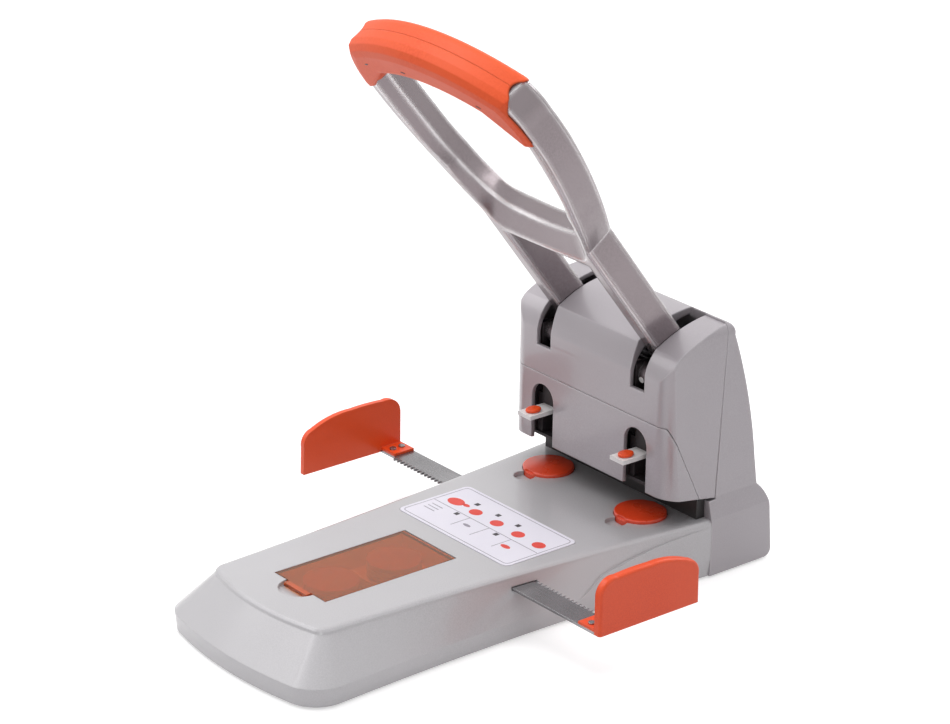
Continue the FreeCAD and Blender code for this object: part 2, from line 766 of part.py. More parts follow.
def make_storage_lid():
    """Clear flap with a finger tab in front and a rolled rear edge on its hinge pin."""
    lid = new_body("lid")
    hinge_y = "(%s - lid_thickness / 2)" % LID_REAR_Y
    pad(lid, "XY", [rectangle("-(lid_width / 2)", LID_FRONT_Y, "(lid_width / 2)", hinge_y)],
        "lid_thickness", LID_BOTTOM_Z)
    pad(lid, "XY", [rectangle("-(lid_tab_width / 2)", "(%s - lid_tab_length)" % LID_FRONT_Y,
                              "(lid_tab_width / 2)", "(%s + overrun)" % LID_FRONT_Y)], "lid_thickness", LID_BOTTOM_Z)
    pad(lid, "YZ", [("circle", hinge_y, "(table_height - lid_thickness / 2)", "(lid_thickness / 2)")],
        "lid_width", both_ways=True)
    pocket(lid, "YZ", [("circle", hinge_y, "(table_height - lid_thickness / 2)", "(hinge_pin_radius + press_gap)")],
           "(lid_width + overrun)", both_ways=True)
    keep("storage_lid", lid)
    place = (hinge_y, "(table_height - lid_thickness / 2)")
    half = "(lid_width / 2 + hinge_pin_reach - press_gap)"
    keep("lid_hinge_pin", rod("hinge_pin", "hinge_pin_radius", ("-" + half,) + place, (half,) + place))


def make_spare_stack(node, y):
    """Three spare discs on one another in the storage well."""
    top = "(table_height - spare_drop)"
    discs = []
    for number in range(3):
        high = "(%s - spare_thickness * %d)" % (top, number)
        low = "(%s - spare_thickness * %d)" % (top, number + 1)
        ring = rod("spare", "(disc_radius + running_gap)", ("0", y, "(%s + spare_groove)" % low), ("0", y, high))
        neck = rod("spare_neck", "(disc_radius - spare_groove)", ("0", y, low), ("0", y, "(%s + spare_groove)" % low))
        discs += [ring, neck]
    return keep(node, fuse(node + "_stack", discs))


def make_storage_content():
    middle = "(%s + lid_length / 2 - lid_thickness)" % LID_FRONT_Y
    make_spare_stack("spare_discs_front", "(%s - spare_pitch / 2)" % middle)
    make_spare_stack("spare_discs_rear", "(%s + spare_pitch / 2)" % middle)
    key = new_body("key")
    floor = "(table_height - well_depth)"
    pad(key, "XY", [round_rectangle("-(key_length / 2)", "(%s - key_width / 2)" % middle, "(key_length / 2)",
                                    "(%s + key_width / 2)" % middle, "(key_width / 3)")], "key_height", floor)
    pad(key, "XY", [("circle", "(key_length / 2 - key_width / 2)", middle, "(key_width * key_head_share)")], "key_height", floor)
    keep("disc_key", key)


def make_cutting_disc():
    """Round plastic disc under a punch, with two finger notches in its rim."""
    disc = new_body("disc")
    low = "(table_height + disc_rise - disc_thickness)"
    pad(disc, "XY", [("circle", PUNCH_X, DISC_Y, "disc_radius")], "disc_thickness", low)
    top = value("table_height + disc_rise")
    dress(disc, "Fillet", lambda edge: abs(edge.CenterOfMass.z - top) < 1e-6, "disc_round")
    notches = []
    for side in ("-", ""):
        y = "(%s %s (disc_radius + disc_notch_radius - disc_notch))" % (DISC_Y, side or "+")
        notches.append(rod("notch", "disc_notch_radius", (PUNCH_X, y, "(table_height + running_gap)"),
                           (PUNCH_X, y, "(table_height + disc_rise + overrun)")))
    right = keep("cutting_disc_right", cut("disc_right", disc, notches))
    keep("cutting_disc_left", mirror("disc_left", right))


# side guides: two toothed strips, their end plates and the pinion between them

def plate_place(turned):
    """The left stop sits further out than the right one."""
    return "(plate_inner + left_lead)" if turned else "plate_inner"


def make_strip(node, turned):
    strip = new_body(node + "_body")
    low = "(%s - strip_thickness)" % STRIP_Z
    inner, outer = "strip_inner" if not turned else "(strip_inner + left_lead)", plate_place(turned)
    pad(strip, "XY", [rectangle("-" + inner, STRIP_Y, outer, RACK_Y)], "strip_thickness", low)
    pitch = value("tooth_pitch")
    first = math.ceil((value("tooth_width") - value(inner)) / pitch - 0.5)
    last = math.floor((value(outer) - value("tooth_margin")) / pitch - 0.5)
    center = "(tooth_pitch * %s)" % (first + 0.5)
    tip = "(%s + 2 * tooth_addendum + tooth_root_gap)" % RACK_Y
    tooth = pad(strip, "XY", [[
        ("(%s - tooth_width / 2 - tooth_slope)" % center, "(%s - tooth_addendum)" % RACK_Y),
        ("(%s + tooth_width / 2 + tooth_slope)" % center, "(%s - tooth_addendum)" % RACK_Y),
        ("(%s + tooth_width / 2 + tooth_slope)" % center, RACK_Y),
        ("(%s + tooth_width / 2 - tooth_slope)" % center, tip),
        ("(%s - tooth_width / 2 + tooth_slope)" % center, tip),
        ("(%s - tooth_width / 2 - tooth_slope)" % center, RACK_Y)]], "strip_thickness", low)
    repeat(strip, "LinearPattern", tooth, "X_Axis", last - first + 1, "tooth_pitch")
    turn(strip, turned)
    return keep(node, strip)


def turn(solid, turned):
    """Swing a piece half a turn about the pinion's axis."""
    if turned:
        solid.Placement.Rotation = FreeCAD.Rotation(Z_AXIS, 180)
        bind(solid, "Placement.Base.y", "(2 * %s)" % PINION_Y)
        doc.recompute()


def plate_outline(inset):
    low = "(%s - strip_thickness + press_gap)" % STRIP_Z
    loop = []
    for across, up, bend, shrink_across, shrink_up in PLATE_SHARES:
        corner = ("(%s + plate_length * %s + %s * %s)" % (STRIP_Y, across, inset, shrink_across),
                  "(%s + plate_height * %s + %s * %s)" % (low, up, inset, shrink_up))
        loop.append(corner + ("(plate_length * %s)" % bend,) if bend else corner)
    return loop


def make_end_plate(node, turned):
    """Upright stop plate with a rounded outer edge and a clamping foot on its strip."""
    plate = new_body(node + "_body")
    near = plate_place(turned)
    steps = round_steps("(%s + plate_thickness)" % near, "plate_round", "-")[::-1]
    loft(plate, [(near, plate_outline("0"))] + [(level, plate_outline(inset)) for level, inset in steps],
         plane="YZ")
    pad(plate, "XY", [rectangle("(%s - clamp_length)" % near, STRIP_Y, "(%s + overrun)" % near, RACK_Y)],
        "clamp_height", STRIP_Z)
    turn(plate, turned)
    return keep(node, plate)


def make_rivets(node, turned):
    rivets = []
    for share in RIVET_SHARES:
        place = ("(%s - clamp_length / 2)" % plate_place(turned), "(%s + strip_width * %s)" % (STRIP_Y, share))
        top = "(%s + clamp_height)" % STRIP_Z
        rivets.append(rod("rivet", "rivet_radius", place + (top,), place + ("(%s + clamp_height / 2)" % top,)))
    joined = group(node + "_set", rivets)
    turn(joined, turned)
    return keep(node, joined)


def make_pinion():
    """Gear wheel that ties the two strips together, on a post of the track."""
    wheel = new_body("wheel")
    low = "(%s - strip_thickness)" % STRIP_Z
    root = "(%s - tooth_addendum - tooth_root_gap)" % PINION_RADIUS
    tip = "(%s + tooth_addendum)" % PINION_RADIUS
    pad(wheel, "XY", [("circle", "0", "0", root), ("circle", "0", "0", "(pinion_bore + axle_clearance)")],
        "strip_thickness", low)
    tooth = pad(wheel, "XY", [[
        ("(tooth_width / 2 + tooth_slope)", "-(%s)" % root),
        ("(tooth_width / 2 + tooth_slope)", "-(%s - tooth_addendum)" % root),
        ("-(tooth_width / 2 + tooth_slope)", "-(%s - tooth_addendum)" % root),
        ("-(tooth_width / 2 + tooth_slope)", "-(%s)" % root),
        ("-(tooth_width / 2 - tooth_slope)", "-(%s)" % tip),
        ("(tooth_width / 2 - tooth_slope)", "-(%s)" % tip)][::-1]], "strip_thickness", low)
    repeat(wheel, "PolarPattern", tooth, "Z_Axis", PINION_TEETH, "")
    bind(wheel, "Placement.Base.y", PINION_Y)
    doc.recompute()
    return keep("pinion", wheel)


def make_track():
    """Plate inside the base that carries the strips, with legs and the pinion's post."""
    low = "(%s - track_thickness)" % TRACK_Z
    near = "(%s - track_margin)" % STRIP_Y
    far = "(2 * %s - %s + track_margin)" % (PINION_Y, STRIP_Y)
    parts = [box("track_plate", "-track_half_width", near, low, "track_half_width", far, TRACK_Z),
             rod("pinion_post", "pinion_bore", ("0", PINION_Y, low), ("0", PINION_Y, STRIP_Z))]
    for side in ("-", ""):
        for y in ("(%s + post_radius)" % near, "(%s - post_radius)" % far):
            x = side + "(track_half_width - post_radius)"
            parts.append(rod("track_leg", "post_radius", (x, y, FLOOR_Z), (x, y, low)))
    keep("guide_track", fuse("track", parts))
    cap = ("0", PINION_Y)
    keep("pinion_cap", rod("pinion_cap_disc", "(pinion_bore * cap_share)", cap + (STRIP_Z,),
                           cap + ("(%s + clamp_height)" % STRIP_Z,)))


# outer shell of the head

def head_outline(inset, low):
    """Head from the front: upright sides that lean in, rounded shoulders, flat top."""
    wide = "(head_half_width - %s)" % inset
    narrow = "(head_half_width - head_taper - %s)" % inset
    top = "(%s - %s)" % (HEAD_TOP_Z, inset)
    step = "(%s - shoulder_round)" % top
    shoulder = "(%s - shoulder_round)" % narrow
    bend = "(shoulder_round * %s)" % QUARTER_SHARE
    return [(wide, low), (narrow, step, bend), (shoulder, top), ("-" + shoulder, top, bend),
            ("-" + narrow, step), ("-" + wide, low)]


def head_plan(inset):
    """Head from above, its two front corners rounded."""
    return [("(head_half_width - %s)" % inset, "(%s + far_overrun)" % REAR_Y),
            ("-(head_half_width - %s)" % inset, "(%s + far_overrun)" % REAR_Y),
            ("-(head_half_width - %s)" % inset, "(%s + front_corner)" % FACE_Y, CORNER_BEND),
            ("-(head_half_width - front_corner)", "(%s + %s)" % (FACE_Y, inset)),
            ("(head_half_width - front_corner)", "(%s + %s)" % (FACE_Y, inset), CORNER_BEND),
            ("(head_half_width - %s)" % inset, "(%s + front_corner)" % FACE_Y)]


def brow_points(inset):
    """Side view of the head's face and brow, from the crest forwards and down."""
    return [("(%s + head_rake)" % SEAM_Y, "(%s - crest_drop - %s)" % (HEAD_TOP_Z, inset), "brow_bend"),
            ("(%s + brow_setback + %s)" % (FACE_Y, inset), "(table_height + brow_height - %s)" % inset, "face_bend"),
            ("(%s + %s)" % (FACE_Y, inset), "(table_height + face_height - %s / 2)" % inset)]


def cover_side():
    return [(FACE_Y, MOUTH_Z), ("(%s + head_foot)" % SEAM_Y, "(%s - gap_fall)" % MOUTH_Z)] + brow_points("0")


def cover_hollow_side():
    """The cover is open below and towards the back housing."""
    low, far = "(%s - gap_fall * 2)" % MOUTH_Z, "(%s + overrun)" % REAR_Y
    return [("(%s + cover_wall)" % FACE_Y, low), (far, low),
            (far, "(%s - crest_drop - cover_wall)" % HEAD_TOP_Z)] + brow_points("cover_wall")


def dome_side():
    """Raised middle of the brow between the lever's two slots."""
    return [(FACE_Y, "(table_height + parting_height)"),
            ("(%s + head_foot)" % SEAM_Y, "(table_height + parting_height)"),
            ("(%s + head_rake)" % SEAM_Y, "(%s - crest_drop / 2)" % HEAD_TOP_Z, "(brow_bend + dome_rise / 3)"),
            ("(%s + brow_setback - dome_rise)" % FACE_Y, "(table_height + brow_height + dome_rise / 2)", "(face_bend - dome_rise / 2)"),
            (FACE_Y, "(table_height + face_height)")]


def three_views(name, front, plan, side, reach):
    """Solid that has the given outlines from the front, from above and from the side."""
    from_front = new_body(name + "_front")
    pad(from_front, "XZ", [front], reach, both_ways=True)
    from_side = new_body(name + "_side")
    pad(from_side, "YZ", [side], reach, both_ways=True)
    solid = common(name + "_two", from_front, from_side)
    if plan:
        from_above = new_body(name + "_plan")
        pad(from_above, "XY", [plan], reach, both_ways=True)
        solid = common(name + "_three", solid, from_above)
    return solid


def make_cover():
    """Front cover of the head, hollow, with arched windows and the lever's two slots."""
    reach = "(base_length * 2)"
    low = "(%s - gap_fall * 2)" % MOUTH_Z
    block = three_views("cover", head_outline("0", low), head_plan("0"), cover_side(), reach)
    half = "(%s - arm_slot_width / 2)" % PUNCH_X
    dome = new_body("dome")
    pad(dome, "YZ", [dome_side()], "(2 * %s)" % half, both_ways=True)
    hollow = three_views("cover_hollow", head_outline("cover_wall", "(%s - overrun)" % low),
                         head_plan("cover_wall"), cover_hollow_side(), reach)
    cuts = [hollow]
    for side in ("-", ""):
        x = side + PUNCH_X
        spring = "(%s + window_height)" % MOUTH_Z
        near, far = "(%s - overrun)" % FACE_Y, "(%s + cover_wall + overrun)" % FACE_Y
        cuts.append(box("window", "(%s - window_width / 2)" % x, near, low, "(%s + window_width / 2)" % x, far, spring))
        cuts.append(rod("arch", "(window_width / 2)", (x, near, spring), (x, far, spring)))
        cuts.append(arm_slot("slot", x))
    return cut("cover_shell", fuse("cover_full", [block, dome]), cuts)


def arm_slot(name, x):
    return box(name, "(%s - arm_slot_width / 2)" % x, "(%s - overrun)" % FACE_Y, SLOT_Z,
               "(%s + arm_slot_width / 2)" % x, "(%s + arm_slot_end)" % FACE_Y, "(%s + overrun)" % HEAD_TOP_Z)


def front_panel_region(name, gap):
    """Everything below the parting line across the face and in front of the slanting one."""
    low, top = "(%s - gap_fall * 3)" % MOUTH_Z, "(table_height + parting_height + %s)" % gap
    region = new_body(name)
    pad(region, "YZ", [[("(%s - far_overrun)" % FACE_Y, low), ("(%s + parting_foot + %s)" % (FACE_Y, gap), low),
                        ("(%s + parting_foot + %s)" % (FACE_Y, gap), "(%s - gap_fall)" % MOUTH_Z),
                        ("(%s + parting_corner + %s)" % (FACE_Y, gap), top), ("(%s - far_overrun)" % FACE_Y, top)]],
        "(head_half_width * 3)", both_ways=True)
    return region


def make_covers():
    shell = make_cover()
    panel = common("panel_cut", shell, front_panel_region("panel_region", "0"))
    lug = box("panel_lug", "-(hole_pitch / 8)", "(%s + cover_wall / 2)" % FACE_Y, "(%s + stripper_thickness)" % CEILING_Z,
              "(hole_pitch / 8)", "(%s + frame_front)" % FACE_Y, "(table_height + parting_height - shell_wall)")
    keep("front_panel", fuse("panel", [panel, lug]))
    upper = cut("upper_cut", shell, [front_panel_region("upper_region", "seam_gap")])
    pieces = [upper]
    for side in ("-", ""):
        for up in ("(%s - post_radius)" % PIVOT_Z, "(table_height + parting_height * upper_boss_share)"):
            place = ("(%s - stop_depth)" % SEAM_Y, up)
            near, far = "(cheek_inner + cheek_thickness)", "(head_half_width - head_taper / 2 - cover_wall / 2)"
            ends = ("-" + far, "-" + near) if side else (near, far)
            pieces.append(rod("cover_boss", "post_radius", (ends[0],) + place, (ends[1],) + place))
    keep("front_cover", fuse("cover_with_bosses", pieces))


# back housing with the paper stop in front of it

def back_front(inset, low):
    """Back housing from the front: broad foot as high as the table, then the head's sides."""
    half_foot = "(rear_half_width - %s)" % inset
    shoulder = head_outline(inset, low)
    half_neck = "(head_half_width - %s)" % inset
    knee, neck = "table_height", "(table_height + back_foot_height)"
    return [("-" + half_foot, low), (half_foot, low), (half_foot, knee), (half_neck, neck)] \
        + shoulder[1:5] + [("-" + half_neck, neck), ("-" + half_foot, knee)]


def back_side(inset, front, floor):
    """Back housing from the side: heel, waist and a leaning back."""
    crest = "(%s - crest_drop / 2 - %s)" % (HEAD_TOP_Z, inset)
    return [(front, floor), ("(%s - head_foot - %s)" % (REAR_Y, inset), floor, "face_bend / 2"),
            ("(%s - %s)" % (REAR_Y, inset), "(foot_height + head_foot + %s)" % inset),
            ("(%s - heel_inset - %s)" % (REAR_Y, inset), "(foot_height + heel_height)", "heel_inset"),
            ("(%s - back_foot_inset - %s)" % (REAR_Y, inset), "(table_height + back_foot_height)"),
            ("(%s - back_waist_inset - %s)" % (REAR_Y, inset), "(table_height + back_waist_height)", "back_bend"),
            ("(%s - back_top_inset - %s)" % (REAR_Y, inset), "(%s - shoulder_round)" % HEAD_TOP_Z, "heel_inset"),
            ("(%s + head_rake + seam_gap)" % SEAM_Y, crest)]


def make_rear_housing():
    reach = "(base_length * 2)"
    wall_top = "(%s - gap_fall - overrun)" % MOUTH_Z
    side = back_side("0", SEAM_Y, "foot_height")
    side += [("(%s + head_foot + seam_gap)" % SEAM_Y, wall_top), (SEAM_Y, wall_top)]
    block = three_views("back", back_front("0", "foot_height"), None, side, reach)
    floor = "(foot_height + shell_wall)"
    side = back_side("shell_wall", "(%s + shell_wall)" % SEAM_Y, floor)[:-1]
    side += [("(%s + head_rake / 2)" % SEAM_Y, "(%s - crest_drop - shell_wall)" % HEAD_TOP_Z),
             ("(%s - overrun)" % SEAM_Y, "(%s - shoulder_round)" % HEAD_TOP_Z),
             ("(%s - overrun)" % SEAM_Y, "(%s + overrun)" % wall_top),
             ("(%s + shell_wall)" % SEAM_Y, "(%s + overrun)" % wall_top)]
    hollow = three_views("back_hollow", back_front("shell_wall", "(foot_height + shell_wall)"), None, side, reach)
    cuts = [hollow, arm_slot("back_slot", "-" + PUNCH_X), arm_slot("back_slot", PUNCH_X)]
    keep("rear_housing", cut("back_shell", block, cuts))
    keep("paper_stop", box("stop_bar", "-(head_half_width - head_taper)", "(%s - stop_depth)" % SEAM_Y, "table_height",
                           "(head_half_width - head_taper)", SEAM_Y, "(table_height + stop_height)"))


# press frame, punch guide and axle

def make_press_frame():
    """Two steel cheeks shaped like a C, joined by a foot plate."""
    low = "(foot_height + shell_wall)"
    column = "(%s + frame_wall)" % SEAM_Y
    room = "(shell_wall + frame_gap)"
    heel = "(%s - head_foot - %s)" % (REAR_Y, room)
    cheeks = new_body("cheeks")
    pad(cheeks, "YZ", [[
        (column, low), (heel, low), (heel, "(foot_height + heel_height)"),
        ("(%s - back_foot_inset - %s)" % (REAR_Y, room), "(table_height + back_foot_height)"),
        ("(%s - back_waist_inset - %s)" % (REAR_Y, room), "(table_height + back_waist_height)"),
        ("(%s - back_top_inset)" % REAR_Y, "(%s + eye_radius - overrun)" % PIVOT_Z),
        (PIVOT_Y, "(%s + eye_radius + overrun * 3)" % PIVOT_Z),
        ("(%s - eye_radius - overrun * 2.5)" % PIVOT_Y, "(%s + eye_radius - overrun * 3)" % PIVOT_Z),
        ("(%s + frame_front)" % FACE_Y, "(table_height + parting_height)"),
        ("(%s + frame_front)" % FACE_Y, CEILING_Z),
        (column, "(%s - gap_fall + overrun * 2)" % MOUTH_Z)]], "(2 * cheek_inner + 2 * cheek_thickness)", both_ways=True)
    between = box("between_cheeks", "-cheek_inner", "(%s - overrun)" % FACE_Y, "(%s + frame_foot)" % low, "cheek_inner",
                  "(%s + overrun)" % REAR_Y, "(%s + overrun)" % HEAD_TOP_Z)
    half = "(cheek_inner + cheek_thickness + overrun)"
    bore = rod("axle_hole", "(axle_radius + press_gap)", ("-" + half, PIVOT_Y, PIVOT_Z), (half, PIVOT_Y, PIVOT_Z))
    keep("press_frame", cut("frame", cheeks, [between, bore]))


def make_punch_guide():
    """Stripper plate with two holes, side walls of the channels and a ledge for the springs."""
    front, rear = "(%s + frame_front)" % FACE_Y, SEAM_Y
    plate_top = "(%s + stripper_thickness)" % CEILING_Z
    parts = [box("stripper", "-cheek_inner", front, CEILING_Z, "cheek_inner", rear, plate_top),
             box("ledge", "-cheek_inner", "(%s + holder_depth / 2 + overrun)" % PUNCH_Y, CEILING_Z, "cheek_inner", rear,
                 "(table_height + ledge_rise)"),
             box("middle", "-(%s - window_width / 2 - overrun * 2)" % PUNCH_X, front, CEILING_Z,
                 "(%s - window_width / 2 - overrun * 2)" % PUNCH_X, rear, "(table_height + guide_rise)")]
    holes = []
    for side in ("-", ""):
        x = side + PUNCH_X
        for near, far in (("(%s - channel_width / 2 - frame_wall)", "(%s - channel_width / 2)"),
                          ("(%s + channel_width / 2)", "(%s + channel_width / 2 + frame_wall)")):
            parts.append(box("channel_wall", near % x, "(%s + overrun)" % front, CEILING_Z, far % x,
                             "(%s + holder_depth / 2 + overrun)" % PUNCH_Y, "(table_height + tab_rise + overrun * 8)"))
        holes.append(rod("stripper_hole", "(tube_radius + running_gap)", (x, PUNCH_Y, "(%s - overrun)" % CEILING_Z),
                         (x, PUNCH_Y, "(%s + overrun)" % plate_top)))
    keep("punch_guide", cut("guide", fuse("guide_block", parts), holes))


def make_axle():
    half = "(cheek_inner + cheek_thickness + overrun * 2)"
    place = (PIVOT_Y, PIVOT_Z)
    keep("axle", rod("axle_bar", "axle_radius", ("-" + half,) + place, (half,) + place))
    spacers = []
    for side in ("-", ""):
        near, far = "(%s + arm_thickness + running_gap)" % ARM_X, "cheek_inner"
        ends = ("-" + far, "-" + near) if side else (near, far)
        sleeve = rod("sleeve", "beak_boss_radius", (ends[0],) + place, (ends[1],) + place)
        bore = rod("sleeve_bore", "(axle_radius + press_gap)", ("-" + half,) + place, (half,) + place)
        spacers.append(cut("spacer", sleeve, [bore]))
    keep("axle_spacers", group("spacer_set", spacers))


# one punch: holder with its fork, cutting tube, tab, insert and return spring

def make_punch(side):
    sign = "-" if side == "left" else ""
    x = sign + PUNCH_X

    def between(name, half, y0, z0, y1, z1):
        return box(name, "(%s - %s)" % (x, half), y0, z0, "(%s + %s)" % (x, half), y1, z1)

    foot = "(table_height + tab_rise + tab_thickness)"
    top = "(%s + holder_height)" % foot
    front, rear = "(%s - holder_depth / 2)" % PUNCH_Y, "(%s + holder_depth / 2)" % PUNCH_Y
    pin_z = "(%s + beak_reach * sin(beak_lift))" % PIVOT_Z
    pin_far = "(%s - beak_reach)" % PIVOT_Y
    pin_near = "(%s - beak_reach * cos(beak_lift))" % PIVOT_Y
    holder = fuse("holder_block", [
        between("holder", "(holder_width / 2)", front, foot, rear, top),
        between("fork", "(fork_width / 2)", "(%s - overrun * fork_lip_share)" % front, top, rear, "(%s + fork_height)" % top),
        between("ear", "(ear_width / 2)", "(%s - overrun)" % rear, "(table_height + ear_rise)",
                "(%s + spring_setback + spring_radius)" % PUNCH_Y, "(table_height + ear_rise + ear_thickness)")])
    cuts = [between("fork_slot", "(arm_thickness / 2 + running_gap)", "(%s - far_overrun)" % front, "(%s + fork_floor)" % top,
                    "(%s + overrun)" % rear, "(%s + fork_height + overrun)" % top),
            between("pin_slot", "(fork_width / 2 + overrun)", "(%s - cross_pin_radius - running_gap)" % pin_far,
                    "(%s - cross_pin_radius - running_gap)" % pin_z, "(%s + cross_pin_radius + running_gap)" % pin_near,
                    "(%s + cross_pin_radius + running_gap)" % pin_z),
            rod("tube_seat", "(tube_radius + press_gap)", (x, PUNCH_Y, "(%s - overrun)" % foot),
                (x, PUNCH_Y, "(%s + holder_height / 2)" % foot))]
    keep("punch_holder_" + side, cut("holder_" + side, holder, cuts))
    tip, seat = "(%s + tip_clearance)" % MOUTH_Z, "(%s + holder_height / 2)" % foot
    tube = cut("tube_" + side, rod("tube", "tube_radius", (x, PUNCH_Y, tip), (x, PUNCH_Y, seat)),
               [rod("bore", "tube_bore", (x, PUNCH_Y, "(%s - overrun)" % tip), (x, PUNCH_Y, "(%s - overrun * 2)" % seat))])
    keep("punch_tube_" + side, tube)
    tab_front = "(%s - tab_reach)" % FACE_Y
    tab = between("tab_plate", "(tab_width / 2)", tab_front, "(table_height + tab_rise)", rear, foot)
    hole = rod("tab_hole", "(tube_radius + press_gap)", (x, PUNCH_Y, "(table_height)"), (x, PUNCH_Y, "(%s + overrun)" % foot))
    keep("punch_tab_" + side, cut("tab_" + side, tab, [hole]))
    keep("tab_insert_" + side, between("insert", "(tab_width / 2 - insert_margin)", "(%s + insert_margin)" % tab_front, foot,
                                       "(%s - insert_margin)" % FACE_Y, "(%s + insert_height)" % foot))
    spring_y = "(%s + spring_setback)" % PUNCH_Y
    ends = ("(table_height + ledge_rise)", "(table_height + ear_rise)")
    coil = cut("coil_" + side, rod("coil", "spring_radius", (x, spring_y, ends[0]), (x, spring_y, ends[1])),
               [rod("coil_bore", "(spring_radius - spring_wire)", (x, spring_y, "(%s - overrun)" % ends[0]),
                    (x, spring_y, "(%s + overrun)" % ends[1]))])
    keep("return_spring_" + side, coil)


# lever: drawn flat, Y along the handle and Z towards the person, then leant back

def lean(solid):
    solid.Placement.Rotation = FreeCAD.Rotation(X_AXIS, 180 - value("lever_angle"))
    bind(solid, "Placement.Rotation.Angle", "(180 - lever_angle)")
    bind(solid, "Placement.Base.y", PIVOT_Y)
    bind(solid, "Placement.Base.z", PIVOT_Z)
    doc.recompute()


def loop_place(across, along):
    """Corner of the loop: a share of its half width, and a share of its span beyond the neck."""
    return "(loop_half_width * %s)" % across, "(neck_reach + loop_span * %s)" % along


def mirrored(right, bends):
    """Close a right half, drawn upwards, with its mirror image; the last bend lies on the top."""
    left = [("-" + point[0], point[1]) for point in right[::-1]]
    loop = [point + (bend,) for point, bend in zip(right, bends)]
    loop += [point + (bend,) for point, bend in zip(left, bends[-2::-1])]
    return loop + [left[-1]]


def loop_outline(inset, draft):
    """Fork and loop from the front; the loop's sides lean in towards the person."""
    right = [("(%s + arm_thickness - %s)" % (ARM_X, inset), "neck_reach")]
    for across, along, bend in CONTOUR_SHARES:
        x, y = loop_place(across, along)
        right.append(("(%s - %s - %s)" % (x, inset, draft), y))
    bends = ["(loop_span * %s)" % bend for bend in NECK_BEND_SHARES] + ["(loop_span * %s)" % TOP_BEND_SHARE]
    outer = mirrored(right, bends)
    near, far = "(%s + %s)" % (ARM_X, inset), "(%s + arm_thickness - %s)" % (ARM_X, inset)
    crotch = "(crotch_reach + %s)" % inset
    return outer + [("-" + far, "0"), ("-" + near, "0"), ("-" + near, crotch), (near, crotch), (near, "0"), (far, "0")]


def opening_outline(shares):
    """Opening of the loop at one level; it runs out through the top, where the grip closes it."""
    right = [loop_place(across, along) for across, along in shares]
    bends = ["(loop_span * %s)" % bend for bend in OPENING_BEND_SHARES]
    left = [("-" + x, y) for x, y in right[::-1]]
    loop = [point + (bend,) for point, bend in zip(right, bends)] + [right[-1]]
    loop += [left[0] + (bends[-1],)] + [point + (bend,) for point, bend in zip(left[1:], bends[-2::-1])]
    return loop + [left[-1] + ("(loop_span * %s)" % WEB_BEND_SHARE,)]


def limb_side(gap, low, back):
    """Side view of a limb with its rounded upper end."""
    end_back = "(%s + %s)" % (loop_place(0, LIMB_END_SHARES[0])[1], gap)
    end_front = "(%s + %s)" % (loop_place(0, LIMB_END_SHARES[1])[1], gap)
    return [(low, "-(%s)" % back), (end_back, "-(%s)" % back), (end_back, "-lever_back", "(lever_front * limb_round_share)"),
            (end_front, "(lever_front + %s)" % gap), (low, "(lever_front + %s)" % gap)]


def make_lever_frame():
    """Cast fork and loop in one piece, with eyes for the axle and beaks for the cross pin."""
    cast = new_body("cast")
    steps = [(level, inset, "0") for level, inset in round_steps("-lever_back", "edge_round", "+")]
    steps += [(level, inset, "loop_draft") for level, inset in round_steps("lever_front", "edge_round", "-")[::-1]]
    loft(cast, [(level, loop_outline(inset, draft)) for level, inset, draft in steps])
    loft(cast, [("-(lever_back + overrun)", opening_outline(BACK_OPENING_SHARES)),
                ("ridge_level", opening_outline(RIDGE_OPENING_SHARES))], subtract=True)
    loft(cast, [("ridge_level", opening_outline(RIDGE_OPENING_SHARES)),
                ("(lever_front + overrun)", opening_outline(FRONT_OPENING_SHARES))], subtract=True)
    side = new_body("cast_side")
    outline = limb_side("0", "-eye_radius", "(lever_back + overrun)")
    pad(side, "YZ", [outline], "(4 * loop_half_width)", both_ways=True)
    parts = [common("limbs", cast, side), make_core("0")]
    cuts = []
    for sign in ("-", ""):
        near, far = "%s" % ARM_X, "(%s + arm_thickness)" % ARM_X
        ends = ("-" + far, "-" + near) if sign else (near, far)
        parts.append(rod("eye", "eye_radius", (ends[0], "0", "0"), (ends[1], "0", "0")))
        beak = ("(beak_reach * cos(%s))" % BEAK_ANGLE, "(beak_reach * sin(%s))" % BEAK_ANGLE)
        parts.append(rod("beak_boss", "beak_boss_radius", (ends[0],) + beak, (ends[1],) + beak))
        parts.append(make_beak_link("beak_link" + ("_left" if sign else "_right"), ends))
        cuts.append(rod("beak_hole", "(cross_pin_radius + press_gap)", ("(%s - overrun)" % ends[0],) + beak,
                        ("(%s + overrun)" % ends[1],) + beak))
        cuts.append(rod("eye_bore", "(axle_radius + axle_clearance)", ("(%s - overrun)" % ends[0], "0", "0"),
                        ("(%s + overrun)" % ends[1], "0", "0")))
    lever = cut("lever_cut", fuse("lever_block", parts), cuts)
    lean(lever)
    keep("lever_frame", lever)
    half = "(%s + fork_width / 2)" % PUNCH_X
    pin = rod("cross_bar", "cross_pin_radius", ("-" + half, "0", "0"), (half, "0", "0"))
    bind(pin, "Placement.Base.y", "(%s - beak_reach * cos(beak_lift))" % PIVOT_Y)
    bind(pin, "Placement.Base.z", "(%s + beak_reach * sin(beak_lift))" % PIVOT_Z)
    keep("cross_pin", pin)


def make_beak_link(name, ends):
    """Straight web between an eye and its beak."""
    link = new_body(name)
    loop = []
    for reach, out in (("0", "-(eye_radius - overrun)"), ("beak_reach", "-(beak_boss_radius - overrun / 2)"),
                       ("beak_reach", "(beak_boss_radius - overrun / 2)"), ("0", "(eye_radius - overrun)")):
        loop.append(("(%s * cos(%s) - %s * sin(%s))" % (reach, BEAK_ANGLE, out, BEAK_ANGLE),
                     "(%s * sin(%s) + %s * cos(%s))" % (reach, BEAK_ANGLE, out, BEAK_ANGLE)))
    pad(link, "YZ", [loop], "arm_thickness", ends[0])
    return link


# grip: a core bow of the casting between two shells

